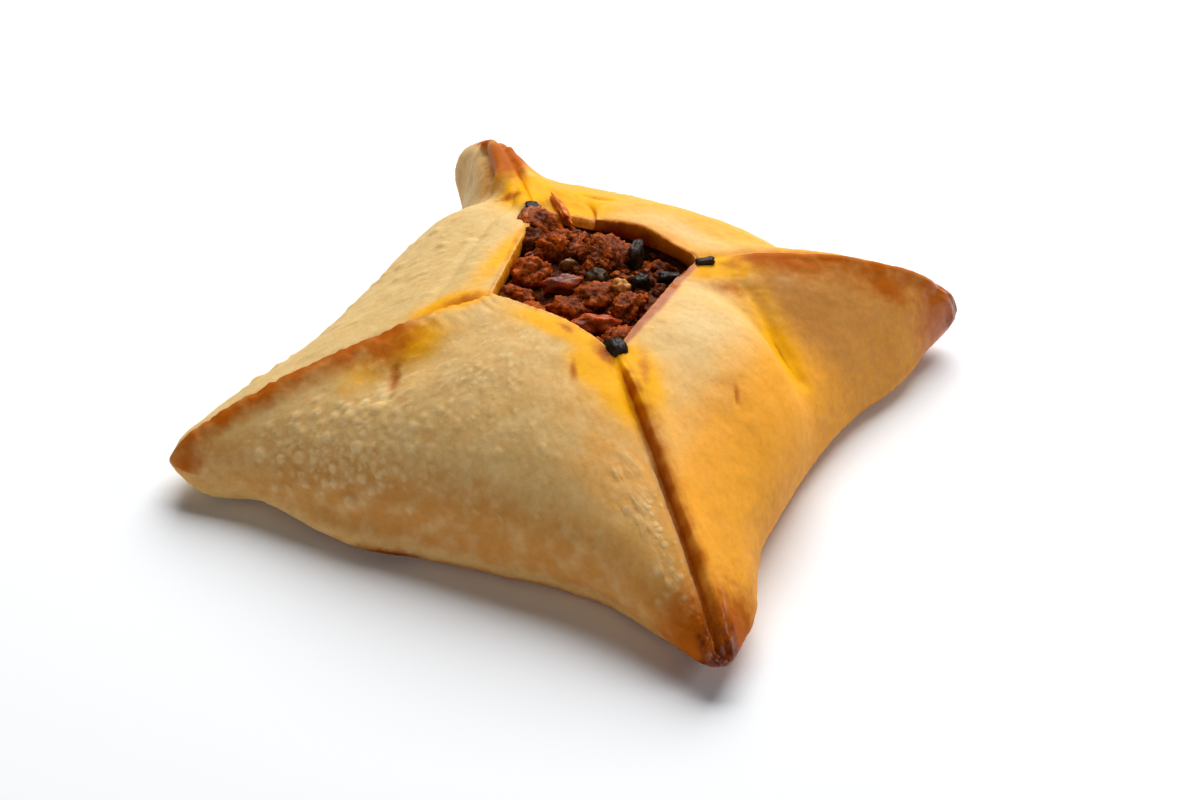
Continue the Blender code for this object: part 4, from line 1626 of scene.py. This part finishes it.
@dataclass
class Filling:
    """The heap of minced meat and what is cooked with it."""
    form: PastryForm
    spread: Spread = Spread((0.0, 1.5, 3.0), 44)
    sunk_levels: int = 14
    heap_rings: int = 34
    reach: float = 20.0
    shake: float = 0.7
    crowding: float = 0.34        # how near the crumbs may come to the named morsels
    hollow: Mound = Mound(13, 12, -1.5, 5.5)
    seed: int = 11
    named: tuple[Morsel, ...] = (
        Morsel(Bit.MINCE, 0.0, 8.8, 9.4, 8.6, 7.4, lift=0.0, detail=5),
        Morsel(Bit.MINCE, -8.4, 9.2, 7.6, 6.6, 5.8, 0.4, lift=0.05, detail=5),
        Morsel(Bit.MINCE, -9.2, 1.4, 6.6, 5.6, 5.2, 1.0, detail=4),
        Morsel(Bit.MINCE, -8.0, -5.6, 5.6, 4.6, 4.0, 0.3, detail=4),
        Morsel(Bit.MINCE, 1.0, -5.4, 6.8, 5.2, 4.4, 0.2, detail=4),
        Morsel(Bit.MINCE, 9.4, -1.6, 5.4, 4.4, 4.2, 1.2, detail=4),
        Morsel(Bit.TOMATO, -2.6, 0.0, 7.0, 3.2, 3.4, 0.5, detail=4),
        Morsel(Bit.TOMATO, 6.6, -6.8, 7.0, 3.4, 3.2, 0.5, detail=4),
        Morsel(Bit.HERB, 1.9, 2.6, 3.8, 3.0, 2.6, detail=4),
        Morsel(Bit.ONION, 6.4, 2.0, 3.2, 2.6, 2.6, detail=4),
        Morsel(Bit.ONION, -4.6, 5.2, 2.8, 2.0, 2.4, 0.4),
        Morsel(Bit.CHAR, 10.8, 9.8, 4.0, 2.2, 2.0, 0.5, 0.9),
        Morsel(Bit.CHAR, 8.4, 4.8, 3.2, 2.6, 2.8, 0.9, 0.5),
        Morsel(Bit.CHAR, 4.4, 11.0, 2.0, 4.6, 5.4, 0.2, 0.4),
        Morsel(Bit.CHAR, -6.6, 17.0, 2.4, 1.6, 1.6, 0.3, 0.8),
    )
    on_dough: tuple[Morsel, ...] = (
        Morsel(Bit.CHAR, 13.2, -12.8, 3.4, 4.6, 4.2, 0.9, 0.0),
        Morsel(Bit.CHAR, 15.2, 13.4, 3.4, 1.6, 1.4, 0.7, 0.1),
        Morsel(Bit.CHAR, -17.0, 15.8, 2.4, 1.9, 1.1, 0.6, 0.2),
        Morsel(Bit.CRUST, -16.4, 14.2, 5.6, 3.0, 0.9, 1.6, 0.0),
        Morsel(Bit.CRUST, -13.2, 18.7, 8.8, 1.4, 1.6, -0.72, 0.3, 4),
    )

    def core(self) -> bpy.types.Object:
        """Makes the heap's core, from its floor up to the bare heap.

        Returns:
            The core, placed and finished.
        """
        inside = self.form.pocket(self.form.gap)
        body = Loft("filling_core")
        sunk = [inside.ring(-1 + 2 * index / (self.sunk_levels - 1), self.spread)
                for index in range(self.sunk_levels)]
        floor = self.form.floor + self.form.gap
        body.add([flat(spot.place, 0.5, floor) for spot in sunk[0]])
        for ring in sunk:
            body.add([spot.place for spot in ring])
        for index in range(1, self.heap_rings):
            share = 1 - index / self.heap_rings
            ring = []
            for spot in sunk[-1]:
                place = flat(spot.place, share, 0.0)
                place.z = self.bare(place.x, place.y)
                ring.append(place)
            body.add(ring)
        return body.build(Vector((0, 0, floor)), Vector((0, 0, self.bare(0, 0))))

    def bare(self, x: float, y: float) -> float:
        """Height of the bare heap, with crumbs too small to be morsels.

        Args:
            x: Place in plan, across.
            y: Place in plan, toward the back.

        Returns:
            The height in millimetres.
        """
        place = Vector((x, y, 0))
        near = noise.voronoi(place / 1.5)[0][0]
        low = self.hollow.at(x, y) - 1.7 * rise(y, 10.5, 14.5) * rise(x, -5.0, -1.0)
        return self.form.heap_height(x, y) + low + 0.55 * (0.4 - near) + 0.35 * noise.noise(place / 3.0)

    def crumbs(self, step: float, sizes: tuple[float, float], seed: int, detail: int) -> list[Morsel]:
        """Small lumps all over the heap, on a shaken grid.

        Args:
            step: Spacing of the grid.
            sizes: Least and greatest length.
            seed: What the draws start from.
            detail: How finely each lump is divided.

        Returns:
            The lumps, most of them mince.
        """
        draw = random.Random(seed)
        rows = int(2 * self.reach / step) + 1
        found = []
        for row in range(rows):
            for column in range(rows):
                x = -self.reach + (column + 0.5 * (row % 2)) * step + draw.uniform(-self.shake, self.shake)
                y = -self.reach + row * step + draw.uniform(-self.shake, self.shake)
                length = draw.uniform(*sizes)
                breadth, height = length * draw.uniform(0.65, 1.0), length * draw.uniform(0.55, 0.8)
                turn = draw.uniform(0, math.pi)
                kind = draw.choices((Bit.MINCE, Bit.TOMATO, Bit.ONION, Bit.HERB), (20, 1.4, 0.8, 0.6))[0]
                if kind is not Bit.MINCE:
                    length, breadth, height = 0.7 * length, 0.55 * breadth, 0.6 * height
                found.append(Morsel(kind, x, y, length, breadth, height, turn, detail=detail))
        return found

    def kept(self, dough: BVHTree, heap: BVHTree) -> list[tuple[Morsel, float]]:
        """The morsels that lie in the opening, each with the height that it rests on.

        Args:
            dough: The dough's surface.
            heap: The bare heap's surface.

        Returns:
            Pairs of a morsel and a height.
        """
        small = self.crumbs(3.7, (4.2, 6.6), self.seed, 4) + self.crumbs(1.9, (1.1, 2.4), self.seed + 1, 3)
        loose = [morsel for morsel in small if not self.crowded(morsel)]
        found = []
        for morsel in (*self.named, *loose):
            base = top_of(heap, morsel.x, morsel.y)
            cover = top_of(dough, morsel.x, morsel.y)
            if base is not None and (cover is None or cover <= base):
                found.append((morsel, base))
        return found

    def crowded(self, morsel: Morsel) -> bool:
        """Whether a crumb comes too near to a named morsel."""
        return any(math.hypot(morsel.x - other.x, morsel.y - other.y)
                   < self.crowding * (morsel.length + other.length) for other in self.named)

    def build(self, dough: bpy.types.Object) -> list[bpy.types.Object]:
        """Makes every piece of the filling.

        Args:
            dough: The finished dough.

        Returns:
            The core and one piece for each kind of morsel.
        """
        core = self.core()
        # The core has no shade mask, so its mince colour is darkened all over: painted shade in the gaps
        # between the morsels.
        core.data.materials.append(replace(FINISHES[Bit.MINCE], name="mince_core_painted_shade").material())
        dough_tree, heap_tree = tree_of(dough), tree_of(core)
        lying = self.kept(dough_tree, heap_tree)
        lying += [(morsel, top_of(dough_tree, morsel.x, morsel.y) or self.form.heap_rise)
                  for morsel in self.on_dough]
        draw = random.Random(self.seed)
        groups = {kind: bmesh.new() for kind in Bit}
        for bm in groups.values():
            bm.verts.layers.float.new("shade")
        for morsel, height in lying:
            morsel.shape(groups[morsel.kind], height, draw.random())
        pieces = [core]
        for kind, bm in groups.items():
            piece = finished(bm, kind.value)
            piece.data.materials.append(FINISHES[kind].material())
            pieces.append(piece)
        return pieces


def tree_of(piece: bpy.types.Object) -> BVHTree:
    """Makes a search tree of a piece's mesh.

    Args:
        piece: The piece.

    Returns:
        The tree, in metres.
    """
    bm = bmesh.new()
    bm.from_mesh(piece.data)
    tree = BVHTree.FromBMesh(bm)
    bm.free()
    return tree


def top_of(tree: BVHTree, x: float, y: float) -> Optional[float]:
    """Finds the top of a surface over a place in plan.

    Args:
        tree: The surface's search tree.
        x: Place in plan, across.
        y: Place in plan, toward the back.

    Returns:
        The height in millimetres, or None beside the surface.
    """
    above = (Vector((x, y, 100.0)) - PLAN_MIDDLE) * MM
    hit = tree.ray_cast(above, Vector((0, 0, -1)))[0]
    return None if hit is None else hit.z / MM


@dataclass(frozen=True)
class Softbox:
    """A large soft light: where it stands as seen from the camera, its size and its power."""
    name: str
    right: float
    into: float
    up: float
    size: float
    power: float


@dataclass(frozen=True)
class Studio:
    """The camera at the photograph's angle, the pale floor and the soft lights."""
    azimuth: float = 28.34
    elevation: float = 36.38
    distance: float = 0.55
    focal_pixels: float = 3448.0
    width_pixels: float = 1200.0
    height_pixels: float = 800.0
    aim_pixel: tuple[float, float] = (579.0, 418.0)
    sensor: float = 36.0
    floor_size: float = 6.0
    floor_tone: tuple = (0.94, 0.96, 0.98, 1.0)
    surroundings: float = 0.05
    boxes: tuple[Softbox, ...] = (
        Softbox("overhead", 0.14, 0.56, 0.68, 0.8, 13.0),
        Softbox("kicker", 0.70, -0.10, 0.40, 0.25, 1.0),
        Softbox("fill", -0.35, -0.9, 0.18, 0.5, 2.1),
    )

    def directions(self) -> tuple[Vector, Vector, Vector]:
        """Works out how the camera is turned.

        Returns:
            Its right, up and back.
        """
        turn, tilt = math.radians(self.azimuth), math.radians(self.elevation)
        back = Vector((math.sin(turn) * math.cos(tilt), -math.cos(turn) * math.cos(tilt), math.sin(tilt)))
        right = Vector((math.cos(turn), math.sin(turn), 0))
        return right, back.cross(right), back

    def camera(self) -> bpy.types.Object:
        """Sets up the camera.

        Returns:
            The scene's camera.
        """
        right, up, back = self.directions()
        data = bpy.data.cameras.new("camera")
        data.sensor_fit = "HORIZONTAL"
        data.sensor_width = self.sensor
        data.lens = self.sensor * self.focal_pixels / self.width_pixels
        camera = placed("camera", data)
        origin = -PLAN_MIDDLE * MM
        camera.location = origin + back * self.distance
        offset = right * (self.width_pixels / 2 - self.aim_pixel[0])
        offset += up * (self.aim_pixel[1] - self.height_pixels / 2)
        target = origin + offset * self.distance / self.focal_pixels
        camera.rotation_euler = (target - camera.location).to_track_quat("-Z", "Y").to_euler()
        bpy.context.scene.camera = camera
        return camera

    def floor(self) -> bpy.types.Object:
        """Lays the pale floor.

        Returns:
            The floor.
        """
        bm = bmesh.new()
        bmesh.ops.create_grid(bm, x_segments=2, y_segments=2, size=self.floor_size / 2)
        mesh = bpy.data.meshes.new("floor")
        bm.to_mesh(mesh)
        bm.free()
        finish = {"Base Color": self.floor_tone, "Roughness": 0.9, "Specular IOR Level": 0.1}
        mesh.materials.append(Painter("pale_floor").dress(finish))
        floor = placed("floor", mesh)
        return floor

    def lights(self) -> None:
        """Sets up the soft lights and the pale surroundings."""
        right, _, back = self.directions()
        into = Vector((-back.x, -back.y, 0)).normalized()
        for box in self.boxes:
            data = bpy.data.lights.new(box.name, "AREA")
            data.size = box.size
            data.energy = box.power
            light = placed(box.name, data)
            light.location = right * box.right + into * box.into + Vector((0, 0, box.up))
            light.rotation_euler = (-light.location).to_track_quat("-Z", "Y").to_euler()
        world = bpy.data.worlds.new("surroundings")
        bpy.context.scene.world = world
        world.use_nodes = True
        background = world.node_tree.nodes["Background"]
        background.inputs["Color"].default_value = (1.0, 1.0, 1.0, 1.0)
        background.inputs["Strength"].default_value = self.surroundings
        bpy.context.scene.view_settings.view_transform = "Standard"

    def build(self) -> None:
        """Sets up the whole studio."""
        self.camera()
        self.floor()
        self.lights()


def main() -> None:
    """Builds the studio, the dough and the filling, and reports each piece."""
    logging.basicConfig(level=logging.INFO, format="%(name)s: %(message)s")
    Studio().build()
    form = PastryForm()
    dough = Dough(form).build()
    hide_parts("dough")
    pieces = [dough]
    for piece in Filling(form).build(dough):
        on_dough = piece.name in (Bit.CHAR.value, Bit.CRUST.value)
        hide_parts(*(("filling", "dough") if on_dough else ("filling",)))
        pieces.append(piece)
    for piece in pieces:
        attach(piece, "root")
        LOG.info("%s: %d faces", piece.name, len(piece.data.polygons))


if __name__ == "__main__":
    main()
